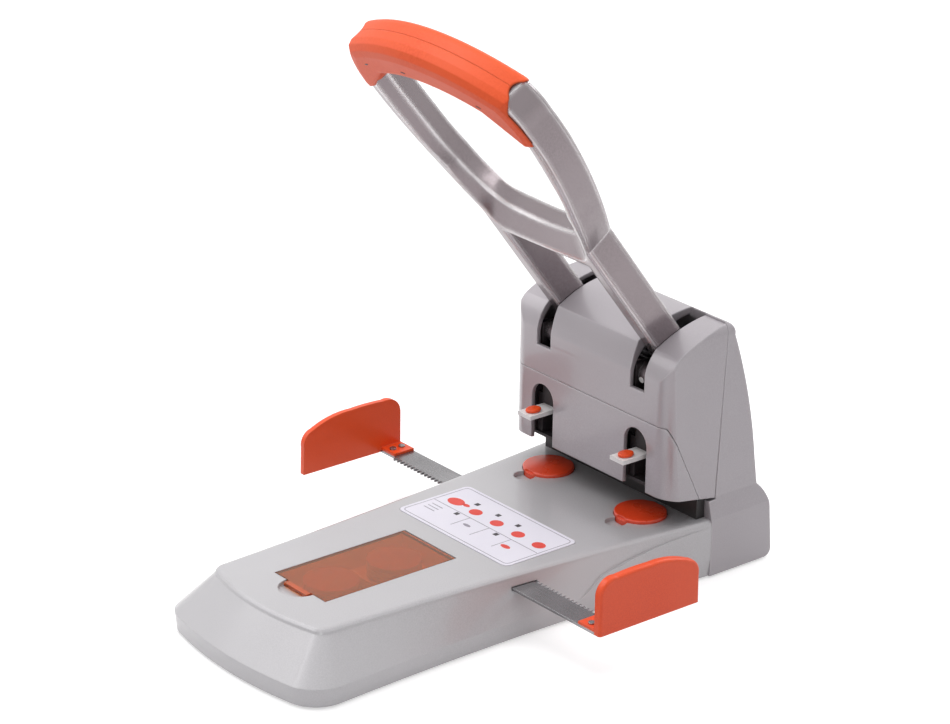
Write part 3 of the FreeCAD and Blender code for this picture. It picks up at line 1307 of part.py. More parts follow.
def bow(outer, inner, low, under):
    """Bow over the loop's top: outset of its outer edge, inset of its inner edge, foot of the inner edge."""
    across, along, bend = CONTOUR_SHARES[-1]
    x, y = loop_place(across, along)
    x, y = "(%s + %s)" % (x, outer), "(%s + %s / 2)" % (y, outer)
    side = "(loop_half_width + %s)" % outer
    top = "(loop_span * %s + %s / 2)" % (TOP_BEND_SHARE, outer)
    corner, rise = loop_place(*GRIP_CORNER_SHARES)
    rise = "(%s + %s)" % (rise, inner)
    sag = "-(loop_span * %s)" % GRIP_BEND_SHARE
    return [(side, low, "(loop_span * %s)" % NECK_BEND_SHARES[-1]), (x, y, top),
            ("-" + x, y, "(loop_span * %s)" % NECK_BEND_SHARES[-1]), ("-" + side, low),
            ("-" + under, low), ("-" + corner, rise, sag), (corner, rise), (under, low)]


def make_core(grow):
    """Thin bow of the casting inside the grip."""
    core = new_body("core")
    under = "(%s - %s)" % (loop_place(RIDGE_OPENING_SHARES[-1][0], 0)[0], grow)
    low = "(%s + grip_round - %s)" % (GRIP_LOW, grow)
    pad(core, "XY", [bow("(%s - core_inset)" % grow, "(core_inset - %s)" % grow, low, under)],
        "(core_front + core_back + 2 * %s)" % grow, "-(core_back + %s)" % grow)
    return core


def make_limb_room(side):
    """Room in the grip for the upper end of one limb; only the front shell reaches over it."""
    room = new_body("limb_room_" + side)
    near = "(loop_half_width * %s - core_gap)" % RIDGE_OPENING_SHARES[-1][0]
    outline = limb_side("core_gap", "(%s - grip_round)" % GRIP_LOW, "(grip_back * 2)")
    pad(room, "YZ", [outline], "loop_half_width", near if side == "right" else "-loop_half_width - " + near)
    return room


def make_grip(node, sections):
    shell = new_body(node + "_body")
    under = loop_place(BACK_OPENING_SHARES[-1][0], 0)[0]
    loft(shell, [(level, bow("(grip_over - %s)" % inset, "(%s / 2)" % inset, GRIP_LOW, "(%s + %s / 2)" % (under, inset)))
                 for level, inset in sections])
    solid = cut(node + "_cut", shell, [make_limb_room("left"), make_limb_room("right"), make_core("core_gap")])
    lean(solid)
    return keep(node, solid)


def make_grips():
    make_grip("grip_front", [("-grip_split", "0")] + round_steps("grip_front", "grip_round", "-")[::-1])
    make_grip("grip_rear", round_steps("-grip_back", "(grip_round / 2)", "+") + [("-(grip_split + press_gap)", "0")])


fill_sheet()
make_covers()
make_rear_housing()
make_press_frame()
make_punch_guide()
make_axle()
make_punch("left")
make_punch("right")
make_lever_frame()
make_grips()
make_base_housing()
make_base_plate()
make_base_screws()
make_rubber_feet()
make_label()
make_storage_lid()
make_storage_content()
make_cutting_disc()
for name, turned in (("right", False), ("left", True)):
    make_strip("guide_strip_" + name, turned)
    make_end_plate("end_plate_" + name, turned)
    make_rivets("plate_rivets_" + name, turned)
make_pinion()
make_track()
doc.recompute()
for item in doc.Objects:
    if "Invalid" in item.State or "Error" in item.State:
        raise ValueError(item.Name + " is in error")
for node, solid in nodes.items():
    if solid.Shape.isNull() or not solid.Shape.isValid():
        raise ValueError(node + " is not a valid shape")
    print(node, len(solid.Shape.Solids), round(solid.Shape.Volume), solid.Shape.countSubElements("Face"))

os.makedirs("parts", exist_ok=True)
for node, solid in nodes.items():
    solid.Shape.exportStep("parts/%s.step" % node)
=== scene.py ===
import json
import math

import bpy
from mathutils import Matrix, Vector


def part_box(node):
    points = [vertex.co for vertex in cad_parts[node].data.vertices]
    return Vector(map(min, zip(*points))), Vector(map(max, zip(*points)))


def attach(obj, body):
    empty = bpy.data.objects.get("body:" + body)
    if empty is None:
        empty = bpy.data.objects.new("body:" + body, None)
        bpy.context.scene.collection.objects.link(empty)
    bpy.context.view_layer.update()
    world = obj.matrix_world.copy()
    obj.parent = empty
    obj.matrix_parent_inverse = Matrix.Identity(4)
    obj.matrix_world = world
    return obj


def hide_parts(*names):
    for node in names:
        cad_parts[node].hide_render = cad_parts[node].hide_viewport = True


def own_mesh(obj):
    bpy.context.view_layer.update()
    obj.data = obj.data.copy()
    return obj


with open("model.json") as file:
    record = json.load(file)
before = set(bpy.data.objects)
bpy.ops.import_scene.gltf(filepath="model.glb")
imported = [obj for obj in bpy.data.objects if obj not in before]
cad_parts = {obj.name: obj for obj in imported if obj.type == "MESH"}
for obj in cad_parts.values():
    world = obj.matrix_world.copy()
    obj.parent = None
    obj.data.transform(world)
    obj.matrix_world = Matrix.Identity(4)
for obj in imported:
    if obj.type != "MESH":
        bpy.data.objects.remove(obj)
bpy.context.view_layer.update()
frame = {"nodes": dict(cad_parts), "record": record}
nodes = frame["nodes"]
mm = 0.001  # metres
print("frame loaded,", len(nodes), "nodes")


# plain helpers

def paint(red, green, blue):
    # a colour as it looks on screen, given in steps of 255, as linear light
    linear = []
    for step in (red, green, blue):
        value = step / 255
        linear.append(value / 12.92 if value <= 0.04045 else ((value + 0.055) / 1.055) ** 2.4)
    return (*linear, 1.0)


def deselectAll():
    if bpy.context.object and bpy.context.object.mode != "OBJECT":
        bpy.ops.object.mode_set(mode="OBJECT")
    bpy.ops.object.select_all(action="DESELECT")


def selectOnly(piece):
    deselectAll()
    piece.select_set(True)
    bpy.context.view_layer.objects.active = piece


def editPiece(piece, mode, action):
    selectOnly(piece)
    bpy.ops.object.mode_set(mode="EDIT")
    bpy.ops.mesh.select_mode(type=mode)
    bpy.ops.mesh.select_all(action=action)


def leaveEdit():
    bpy.ops.object.mode_set(mode="OBJECT")


def pickUpperFaces(piece):
    # edit mode stays open with only these faces selected
    editPiece(piece, "FACE", "DESELECT")
    leaveEdit()
    for face in piece.data.polygons:
        face.select = face.normal.z > 0.9  # flat tops, and nothing that slopes
    bpy.ops.object.mode_set(mode="EDIT")


def applyModifier(piece, kind, **values):
    selectOnly(piece)
    modifier = piece.modifiers.new(kind.title(), kind)
    for key, value in values.items():
        setattr(modifier, key, value)
    bpy.ops.object.modifier_apply(modifier=modifier.name)


def placeInMesh(piece):
    selectOnly(piece)
    bpy.ops.object.transform_apply(location=True, rotation=True, scale=True)


def smoothPiece(piece, degrees):
    selectOnly(piece)
    bpy.ops.object.shade_smooth_by_angle(angle=math.radians(degrees))


def joinPieces(pieces):
    deselectAll()
    for piece in pieces:
        piece.select_set(True)
    bpy.context.view_layer.objects.active = pieces[0]
    bpy.ops.object.join()
    return pieces[0]


def setFinish(piece, material):
    piece.data.materials.clear()
    piece.data.materials.append(material)


def mountPiece(piece, name, body, material):
    piece.name = name
    setFinish(piece, material)
    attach(piece, body)


# shader helpers: a source is another node's socket, or a value to type in

def plug(tree, source, socket):
    if isinstance(source, bpy.types.NodeSocket):
        tree.links.new(source, socket)
    else:
        socket.default_value = source


def addNoise(tree, vector, scale, detail):
    noise = tree.nodes.new("ShaderNodeTexNoise")
    plug(tree, vector, noise.inputs["Vector"])
    plug(tree, scale, noise.inputs["Scale"])
    plug(tree, detail, noise.inputs["Detail"])
    return noise.outputs["Fac"]


def addRange(tree, value, span, toLow=0.0, toHigh=1.0):
    stretch = tree.nodes.new("ShaderNodeMapRange")
    for socketName, source in (("Value", value), ("From Min", span[0]), ("From Max", span[1]),
                               ("To Min", toLow), ("To Max", toHigh)):
        plug(tree, source, stretch.inputs[socketName])
    return stretch.outputs["Result"]


def addMix(tree, share, first, second):
    mix = tree.nodes.new("ShaderNodeMix")
    mix.data_type = "RGBA"
    for socketName, source in (("Factor", share), ("A", first), ("B", second)):
        plug(tree, source, mix.inputs[socketName])
    return mix.outputs["Result"]


def addMath(tree, operation, first, second):
    sums = tree.nodes.new("ShaderNodeMath")
    sums.operation = operation
    plug(tree, first, sums.inputs[0])
    plug(tree, second, sums.inputs[1])
    return sums.outputs["Value"]


def addVectorMath(tree, operation, first, second, result):
    sums = tree.nodes.new("ShaderNodeVectorMath")
    sums.operation = operation
    plug(tree, first, sums.inputs[0])
    plug(tree, second, sums.inputs[1])
    return sums.outputs[result]


def addBump(tree, height, normal, look):
    bump = tree.nodes.new("ShaderNodeBump")
    bump.inputs["Strength"].default_value = look["bump"]
    bump.inputs["Distance"].default_value = look["depth"]
    plug(tree, height, bump.inputs["Height"])
    plug(tree, normal, bump.inputs["Normal"])
    return bump.outputs["Normal"]


def objectPlace(tree):
    return tree.nodes.new("ShaderNodeTexCoord").outputs["Object"]


def newMaterial(name):
    material = bpy.data.materials.new(name)
    material.use_nodes = True
    return material, material.node_tree, material.node_tree.nodes["Principled BSDF"]


# effects that several materials share

def newEffect(name, inputs, outputs):
    tree = bpy.data.node_groups.new(name, "ShaderNodeTree")
    for socketName, kind, value in inputs:
        tree.interface.new_socket(name=socketName, in_out="INPUT", socket_type=kind).default_value = value
    for socketName, kind in outputs:
        tree.interface.new_socket(name=socketName, in_out="OUTPUT", socket_type=kind)
    return tree, tree.nodes.new("NodeGroupInput").outputs, tree.nodes.new("NodeGroupOutput").inputs


def makeGrain():
    # fine flakes and slow clouds in the colour, with a roughness that follows the clouds
    spread = {"fine": (0.35, 0.65), "cloud": (0.35, 0.7), "rough": (0.3, 0.7),
              "fineDetail": 2.0, "cloudDetail": 4.0}
    tree, given, made = newEffect(
        "grain",
        [("Color", "NodeSocketColor", (0.5, 0.5, 0.5, 1.0)),
         ("Dark Color", "NodeSocketColor", (0.4, 0.4, 0.4, 1.0)),
         ("Grain Scale", "NodeSocketFloat", 900.0), ("Cloud Scale", "NodeSocketFloat", 14.0),
         ("Low", "NodeSocketFloat", 0.3), ("High", "NodeSocketFloat", 0.45)],
        [("Color", "NodeSocketColor"), ("Roughness", "NodeSocketFloat"), ("Height", "NodeSocketFloat")])
    place = objectPlace(tree)
    fine = addNoise(tree, place, given["Grain Scale"], spread["fineDetail"])
    cloud = addNoise(tree, place, given["Cloud Scale"], spread["cloudDetail"])
    share = addMath(tree, "MULTIPLY", addRange(tree, fine, spread["fine"]),
                    addRange(tree, cloud, spread["cloud"]))
    plug(tree, addMix(tree, share, given["Color"], given["Dark Color"]), made["Color"])
    plug(tree, addRange(tree, cloud, spread["rough"], given["Low"], given["High"]), made["Roughness"])
    plug(tree, fine, made["Height"])
    return tree


def makeBrush():
    # drawn lines that run along X, as on rolled and brushed sheet
    line = {"stretch": (1.0, 60.0, 60.0), "detail": 3.0}
    tree, given, made = newEffect(
        "brush", [("Scale", "NodeSocketFloat", 30.0)], [("Value", "NodeSocketFloat")])
    mapping = tree.nodes.new("ShaderNodeMapping")
    mapping.inputs["Scale"].default_value = line["stretch"]
    plug(tree, objectPlace(tree), mapping.inputs["Vector"])
    plug(tree, addNoise(tree, mapping.outputs["Vector"], given["Scale"], line["detail"]), made["Value"])
    return tree


def makeEdge():
    # softened edges: the normal that bends light, and a mask of the rim, for rubbed wear and a painted
    # highlight, full where the two normals are only as alike as the input says
    rim = {"samples": 4, "start": 0.985}
    tree, given, made = newEffect(
        "edge", [("Radius", "NodeSocketFloat", 0.0006), ("Full", "NodeSocketFloat", 0.75)],
        [("Mask", "NodeSocketFloat"), ("Normal", "NodeSocketVector")])
    soft = tree.nodes.new("ShaderNodeBevel")
    soft.samples = rim["samples"]
    plug(tree, given["Radius"], soft.inputs["Radius"])
    flat = tree.nodes.new("ShaderNodeNewGeometry")
    likeness = addVectorMath(tree, "DOT_PRODUCT", soft.outputs["Normal"], flat.outputs["Normal"], "Value")
    plug(tree, addRange(tree, likeness, (rim["start"], given["Full"])), made["Mask"])
    plug(tree, soft.outputs["Normal"], made["Normal"])
    return tree


effects = {"grain": makeGrain(), "brush": makeBrush(), "edge": makeEdge()}


def addEffect(tree, name, **values):
    group = tree.nodes.new("ShaderNodeGroup")
    group.node_tree = effects[name]
    for socketName, value in values.items():
        group.inputs[socketName.replace("_", " ")].default_value = value
    return group.outputs


def addGrain(tree, look):
    return addEffect(tree, "grain", Color=paint(*look["color"]), Dark_Color=paint(*look["dark"]),
                     Grain_Scale=look["grain"], Cloud_Scale=look["cloud"],
                     Low=look["rough"][0], High=look["rough"][1])


def shadeNearPivot(tree):
    # painted shade on the end of the lever near the pivot, which lies inside the head
    reach = {"pivot": (0.0, 0.1278, 0.110), "across": (0.0, 1.0, 1.0), "span": (0.034, 0.037)}
    flat = addVectorMath(tree, "MULTIPLY", objectPlace(tree), reach["across"], "Vector")
    far = addVectorMath(tree, "DISTANCE", flat, reach["pivot"], "Value")
    return addRange(tree, far, reach["span"], 1.0, 0.0)


def makeSurface(name, look):
    # the common build of all opaque finishes
    brushSpan = (0.35, 0.7)
    material, tree, shader = newMaterial(name)
    for socketName, key, plain in (("Metallic", "metal", 0.0), ("IOR", "ior", 1.5),
                                   ("Coat Weight", "coat", 0.0), ("Coat Roughness", "coatRough", 0.1)):
        shader.inputs[socketName].default_value = look.get(key, plain)
    grain = addGrain(tree, look)
    edge = addEffect(tree, "edge", Radius=look["edge"], Full=look.get("full", 0.75))
    color, height = grain["Color"], grain["Height"]
    if look.get("brush"):
        height = addEffect(tree, "brush", Scale=look["brush"])["Value"]
        share = addRange(tree, height, brushSpan, 0.0, look["lineShare"])
        color = addMix(tree, share, color, paint(*look["dark"]))
    # edges blend to the rim colour: partly rubbed wear, partly a painted highlight along the rims
    wornAndLitRim = addRange(tree, edge["Mask"], (0.0, 1.0), 0.0, look["rimWearAndHighlight"])
    color = addMix(tree, wornAndLitRim, color, paint(*look["rim"]))
    # painted shade on the lever's end inside the head
    if look.get("insideHeadShade"):
        color = addMix(tree, shadeNearPivot(tree), color, paint(*look["insideHeadShade"]))
    plug(tree, color, shader.inputs["Base Color"])
    plug(tree, grain["Roughness"], shader.inputs["Roughness"])
    plug(tree, addBump(tree, height, edge["Normal"], look), shader.inputs["Normal"])
    return material


looks = {
    "base_silver": {"color": (186, 184, 187), "dark": (175, 173, 176), "rim": (216, 214, 217), "grain": 1500.0,
                    "cloud": 9.0, "rough": (0.34, 0.42), "metal": 0.2, "coat": 0.5, "coatRough": 0.09,
                    "edge": 0.0009, "rimWearAndHighlight": 0.4, "bump": 0.05, "depth": 0.00002},
    # the head's light rims are a painted highlight on its edges
    "head_silver": {"color": (166, 160, 165), "dark": (157, 151, 156), "rim": (208, 203, 208), "grain": 1500.0,
                    "cloud": 9.0, "rough": (0.3, 0.38), "metal": 0.2, "coat": 0.6, "coatRough": 0.09,
                    "edge": 0.0016, "full": 0.86, "rimWearAndHighlight": 0.6, "bump": 0.05, "depth": 0.00002},
    # the lever's near-white rims are a painted highlight, and its end inside the head gets a painted shade
    "lever_cast": {"color": (140, 130, 133), "dark": (118, 108, 111), "rim": (250, 248, 249), "grain": 1100.0,
                   "cloud": 14.0, "rough": (0.16, 0.24), "metal": 0.75, "coat": 0.3, "coatRough": 0.08,
                   "edge": 0.004, "full": 0.93, "rimWearAndHighlight": 1.0, "bump": 0.05, "depth": 0.00003,
                   "insideHeadShade": (54, 49, 51)},
    "grip_orange": {"color": (228, 88, 42), "dark": (220, 78, 34), "rim": (238, 108, 64), "grain": 700.0,
                    "cloud": 20.0, "rough": (0.42, 0.5), "ior": 1.38, "edge": 0.0012,
                    "rimWearAndHighlight": 0.35, "bump": 0.08, "depth": 0.00006},
    "plate_orange": {"color": (232, 80, 32), "dark": (222, 70, 26), "rim": (240, 112, 72), "grain": 1200.0,
                     "cloud": 12.0, "rough": (0.3, 0.38), "ior": 1.42, "coat": 0.1, "coatRough": 0.1,
                     "edge": 0.0009, "rimWearAndHighlight": 0.4, "bump": 0.04, "depth": 0.00002},
    "disc_red": {"color": (230, 72, 36), "dark": (216, 60, 28), "rim": (244, 108, 70), "grain": 1200.0,
                 "cloud": 40.0, "rough": (0.24, 0.34), "coat": 0.4, "coatRough": 0.1, "edge": 0.0009,
                 "rimWearAndHighlight": 0.5, "bump": 0.05, "depth": 0.00003},
    # painted shade: the spare discs under the lid are painted much darker than the cutting discs in use
    "spare_orange": {"color": (104, 44, 14), "dark": (88, 36, 10), "rim": (150, 74, 32), "grain": 1200.0,
                     "cloud": 40.0, "rough": (0.35, 0.45), "edge": 0.0006, "rimWearAndHighlight": 0.5,
                     "bump": 0.05, "depth": 0.00003},
    "label_white": {"color": (226, 223, 233), "dark": (219, 216, 228), "rim": (232, 230, 238), "grain": 1800.0,
                    "cloud": 30.0, "rough": (0.42, 0.52), "edge": 0.0003, "rimWearAndHighlight": 0.2,
                    "bump": 0.1, "depth": 0.00002},
    "bright_steel": {"color": (164, 162, 164), "dark": (112, 110, 112), "rim": (224, 224, 225), "grain": 1400.0,
                     "cloud": 30.0, "rough": (0.2, 0.3), "metal": 0.85, "brush": 34.0, "lineShare": 0.35,
                     "edge": 0.0003, "rimWearAndHighlight": 0.5, "bump": 0.15, "depth": 0.00003},
    "tool_steel": {"color": (150, 148, 150), "dark": (110, 107, 110), "rim": (190, 188, 190), "grain": 900.0,
                   "cloud": 30.0, "rough": (0.28, 0.42), "metal": 0.85, "edge": 0.0003, "rimWearAndHighlight": 0.5,
                   "bump": 0.15, "depth": 0.00003},
    "dark_sheet": {"color": (52, 47, 49), "dark": (36, 32, 34), "rim": (92, 86, 88), "grain": 700.0,
                   "cloud": 18.0, "rough": (0.42, 0.58), "metal": 0.3, "edge": 0.0004, "rimWearAndHighlight": 0.4,
                   "bump": 0.2, "depth": 0.00005},
    "black_plastic": {"color": (34, 31, 32), "dark": (24, 22, 23), "rim": (60, 56, 58), "grain": 900.0,
                      "cloud": 25.0, "rough": (0.4, 0.55), "edge": 0.0005, "rimWearAndHighlight": 0.3,
                      "bump": 0.25, "depth": 0.00006},
    "white_plastic": {"color": (226, 224, 224), "dark": (212, 210, 211), "rim": (240, 239, 239),
                      "grain": 1200.0, "cloud": 40.0, "rough": (0.3, 0.4), "edge": 0.0004, "rimWearAndHighlight": 0.3,
                      "bump": 0.1, "depth": 0.00003},
    "foot_rubber": {"color": (40, 38, 38), "dark": (28, 26, 27), "rim": (58, 55, 56), "grain": 500.0,
                    "cloud": 60.0, "rough": (0.7, 0.85), "edge": 0.0005, "rimWearAndHighlight": 0.3,
                    "bump": 0.4, "depth": 0.0001},
}
finishes = {name: makeSurface(name, look) for name, look in looks.items()}


def makeAmber():
    # clear tinted plastic with faint swirls and hair scratches
    look = {"color": (255, 150, 60), "dark": (252, 140, 52), "grain": 400.0, "cloud": 22.0,
            "rough": (0.05, 0.1), "ior": 1.46, "transmission": 0.9, "edge": 0.0004,
            "bump": 0.02, "depth": 0.00002}
    material, tree, shader = newMaterial("lid_amber")
    shader.inputs["Metallic"].default_value = 0.0
    shader.inputs["IOR"].default_value = look["ior"]
    shader.inputs["Transmission Weight"].default_value = look["transmission"]
    grain = addGrain(tree, look)
    edge = addEffect(tree, "edge", Radius=look["edge"])
    plug(tree, grain["Color"], shader.inputs["Base Color"])
    plug(tree, grain["Roughness"], shader.inputs["Roughness"])
    plug(tree, addBump(tree, grain["Height"], edge["Normal"], look), shader.inputs["Normal"])
    return material


finishes["lid_amber"] = makeAmber()


def makeInk(name, color):
    shade = 0.88  # of the ink's colour where it lies thin
    return makeSurface(name, {"color": color, "dark": tuple(shade * step for step in color), "rim": color,
                              "grain": 2200.0, "cloud": 60.0, "rough": (0.45, 0.6), "edge": 0.0001, "rimWearAndHighlight": 0.1,
                              "bump": 0.05, "depth": 0.00001})


inks = {"red": makeInk("red_ink", (224, 74, 62)), "dark": makeInk("dark_ink", (66, 60, 66)),
        "grey": makeInk("grey_ink", (150, 144, 156))}

for part in frame["record"]["subparts"]:
    setFinish(nodes[part["node"]], finishes[part["material_slot"]])
print("finishes set,", len(finishes) + len(inks), "materials")


# print on the label: a chart of bare pictograms
# millimetres from the plate's middle; a disc is x, y, radius and squeeze, a rule is its two ends and y
label = {
    "border": (46.0, 23.8), "line": 0.45, "thick": 0.12, "sink": 0.06, "corner": 3.0, "cornerSteps": 6,
    "discSides": 32, "topRow": 6.0, "ovals": (-17.0, 1.6, 20.2, 38.0), "oval": 4.3, "ovalSqueeze": 0.85,
    "redMarks": ((-35.0, 6.4, 6.0, 0.7), (-27.4, 7.6, 2.6, 0.6), (28.0, -9.6, 3.6, 0.5)),
    "square": 1.5, "squares": ((-24.5, 13.4), (-6.0, 13.4), (11.4, 13.4), (-22.0, -3.6), (12.6, -3.6)),
    "sketch": (-6.5, -9.0, 3.0, 0.4), "posts": (-13.0, 4.0, 23.0), "postSpan": (-15.5, -1.2),
    "rules": ((-45.0, -13.0, -1.2), (-13.0, 23.0, -1.2), (23.0, 45.0, -1.2)),
    "note": (4.6, 0.3), "notes": ((-37.0, -5.6), (-37.0, -8.6), (-37.0, -11.6)),
}
plateLow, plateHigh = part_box("label_plate")
labelMiddle = (plateLow + plateHigh) / 2


def labelSpot(x, y):
    return (labelMiddle.x + x * mm, labelMiddle.y + y * mm, plateHigh.z - label["sink"] * mm)


def raisePrint(piece):
    editPiece(piece, "FACE", "SELECT")
    bpy.ops.mesh.extrude_region_move(TRANSFORM_OT_translate={"value": (0, 0, label["thick"] * mm)})
    bpy.ops.mesh.select_all(action="SELECT")
    bpy.ops.mesh.normals_make_consistent(inside=False)
    leaveEdit()
    return piece


def printDisc(x, y, radius, squeeze):
    bpy.ops.mesh.primitive_circle_add(vertices=label["discSides"], radius=radius * mm, fill_type="NGON",
                                      location=labelSpot(x, y))
    piece = bpy.context.object
    piece.scale.y = squeeze
    placeInMesh(piece)
    return raisePrint(piece)


def flatBar(x, y, halfX, halfY):
    bpy.ops.mesh.primitive_plane_add(size=2.0, location=labelSpot(x, y))
    piece = bpy.context.object
    piece.scale = (halfX * mm, halfY * mm, 1.0)
    placeInMesh(piece)
    return piece


def printBar(x, y, halfX, halfY):
    return raisePrint(flatBar(x, y, halfX, halfY))


def printFrame():
    # a thin line round the chart with rounded corners
    piece = flatBar(0.0, 0.0, *label["border"])
    editPiece(piece, "VERT", "SELECT")
    bpy.ops.mesh.bevel(offset=label["corner"] * mm, segments=label["cornerSteps"], affect="VERTICES")
    bpy.ops.mesh.select_mode(type="FACE")
    bpy.ops.mesh.select_all(action="SELECT")
    bpy.ops.mesh.inset(thickness=label["line"] * mm)
    bpy.ops.mesh.delete(type="FACE")
    leaveEdit()
    return raisePrint(piece)


redMarks = [printDisc(x, label["topRow"], label["oval"], label["ovalSqueeze"]) for x in label["ovals"]]
redMarks += [printDisc(*mark) for mark in label["redMarks"]]
mountPiece(joinPieces(redMarks), "label_red", "base", inks["red"])

markHalf = label["square"]
darkMarks = [printBar(x, y, markHalf, markHalf) for x, y in label["squares"]]
mountPiece(joinPieces(darkMarks), "label_dark", "base", inks["dark"])

lineHalf = label["line"] / 2
postLow, postHigh = label["postSpan"]
greyMarks = [printFrame(), printDisc(*label["sketch"])]
greyMarks += [printBar((start + stop) / 2, y, (stop - start) / 2, lineHalf)
              for start, stop, y in label["rules"]]
greyMarks += [printBar(x, (postLow + postHigh) / 2, lineHalf, (postHigh - postLow) / 2)
              for x in label["posts"]]
greyMarks += [printBar(x, y, *label["note"]) for x, y in label["notes"]]
mountPiece(joinPieces(greyMarks), "label_grey", "base", inks["grey"])
print("label printed")


# coiled springs beside the punches
spring = {"wire": 0.5, "turns": 8, "wireSides": 10, "stepsPerTurn": 20, "travel": 16.0, "weld": 0.01,
          "smooth": 50.0}
coilSteps = spring["turns"] * spring["stepsPerTurn"]
wire = spring["wire"] * mm
for hand in ("left", "right"):
    low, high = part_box("return_spring_" + hand)
    middle = (low + high) / 2
    bpy.ops.mesh.primitive_circle_add(vertices=spring["wireSides"], radius=wire,
                                      location=(middle.x, middle.y, low.z + wire))
    coil = bpy.context.object
    editPiece(coil, "EDGE", "SELECT")
    bpy.ops.transform.rotate(value=math.pi / 2, orient_axis="X", center_override=coil.location)
    bpy.ops.transform.translate(value=((high.x - low.x) / 2 - wire, 0, 0))
    leaveEdit()
    applyModifier(coil, "SCREW", angle=2 * math.pi * spring["turns"], screw_offset=high.z - low.z - 2 * wire,
                  steps=coilSteps, render_steps=coilSteps)
    editPiece(coil, "EDGE", "SELECT")
    bpy.ops.mesh.remove_doubles(threshold=spring["weld"] * mm)
    bpy.ops.mesh.select_all(action="DESELECT")
    bpy.ops.mesh.select_non_manifold()
    bpy.ops.mesh.edge_face_add()
    bpy.ops.mesh.select_all(action="SELECT")
    bpy.ops.mesh.normals_make_consistent(inside=False)
    leaveEdit()
    placeInMesh(coil)
    smoothPiece(coil, spring["smooth"])
    mountPiece(coil, "coil_spring_" + hand, "base", finishes["tool_steel"])
    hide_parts("return_spring_" + hand)
    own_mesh(coil)
print("springs coiled")


# domed inserts in the tabs
insert = {"sides": 40, "corner": 1.4, "dome": 0.9, "domeSteps": 6, "smooth": 40.0}
for hand in ("left", "right"):
    low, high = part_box("tab_insert_" + hand)
    bpy.ops.mesh.primitive_cylinder_add(vertices=insert["sides"], radius=0.5, depth=1.0,
                                        location=(low + high) / 2)
    dome = bpy.context.object
    dome.scale = high - low
    placeInMesh(dome)
    pickUpperFaces(dome)
    bpy.ops.mesh.inset(thickness=insert["corner"] * mm)
    leaveEdit()
    applyModifier(dome, "BEVEL", width=insert["dome"] * mm, segments=insert["domeSteps"],
                  limit_method="ANGLE")
    smoothPiece(dome, insert["smooth"])
    mountPiece(dome, "insert_dome_" + hand, "punch_" + hand, finishes["plate_orange"])
    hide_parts("tab_insert_" + hand)


# small white discs with a socket on the bosses that hold the cross pin, for the bright dot at the pin's end
brightDot = {"x": 37.0, "boss": 7.5, "out": 0.5, "radius": 1.8, "thick": 1.6, "rim": 0.5, "corner": 0.25,
            "sides": 28, "cornerSteps": 3, "angle": math.radians(200.0), "smooth": 40.0}
pinLow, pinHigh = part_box("cross_pin")
away = Vector((0, math.cos(brightDot["angle"]), math.sin(brightDot["angle"])))
for hand, sign in (("left", -1), ("right", 1)):
    bpy.ops.mesh.primitive_cylinder_add(vertices=brightDot["sides"], radius=brightDot["radius"] * mm,
                                        depth=brightDot["thick"] * mm)
    dotPiece = bpy.context.object
    pickUpperFaces(dotPiece)
    bpy.ops.mesh.inset(thickness=brightDot["rim"] * mm)
    bpy.ops.mesh.extrude_region_move(TRANSFORM_OT_translate={"value": (0, 0, -brightDot["rim"] * mm)})
    leaveEdit()
    applyModifier(dotPiece, "BEVEL", width=brightDot["corner"] * mm, segments=brightDot["cornerSteps"],
                  limit_method="ANGLE")
    smoothPiece(dotPiece, brightDot["smooth"])
    spot = (pinLow + pinHigh) / 2 + away * (brightDot["boss"] + brightDot["out"] - brightDot["thick"] / 2) * mm
    spot.x = sign * brightDot["x"] * mm
    dotPiece.data.transform(Matrix.Translation(spot) @ away.to_track_quat("Z", "Y").to_matrix().to_4x4())
    mountPiece(dotPiece, "bright_dot_" + hand, "lever", finishes["white_plastic"])


# painted shade: small black blocks along the lower edge of the grip stand in for the shade in small clip
# recesses; x, way along the lever and turn of each
recessShade = {"spots": ((-50.0, 248.0, 0.35), (-14.0, 254.0, 0.0), (44.0, 248.0, -0.35)), "across": 12.2,
         "half": (1.7, 0.45, 0.25), "sink": 0.3, "corner": 0.2, "cornerSteps": 2, "pivot": (0.0, 127.8, 110.0),
         "lean": math.radians(52.6)}
alongAxis = Vector((0, -math.cos(recessShade["lean"]), math.sin(recessShade["lean"])))
frontAxis = Vector((0, -math.sin(recessShade["lean"]), -math.cos(recessShade["lean"])))
facing = Matrix((Vector((1, 0, 0)), alongAxis, frontAxis)).transposed().to_4x4()
recessShadeBlocks = []
for x, along, twist in recessShade["spots"]:
    bpy.ops.mesh.primitive_cube_add(size=2.0)
    block = bpy.context.object
    block.scale = Vector(recessShade["half"]) * mm
    placeInMesh(block)
    applyModifier(block, "BEVEL", width=recessShade["corner"] * mm, segments=recessShade["cornerSteps"])
    spot = Vector(recessShade["pivot"]) + Vector((x, 0, 0)) + alongAxis * along
    spot += frontAxis * (recessShade["across"] - recessShade["sink"] + recessShade["half"][2])
    block.data.transform(Matrix.Translation(spot * mm) @ facing @ Matrix.Rotation(twist, 4, "Z"))
    recessShadeBlocks.append(block)
mountPiece(joinPieces(recessShadeBlocks), "grip_recess_shade", "lever", finishes["black_plastic"])
print("inserts and latches made")


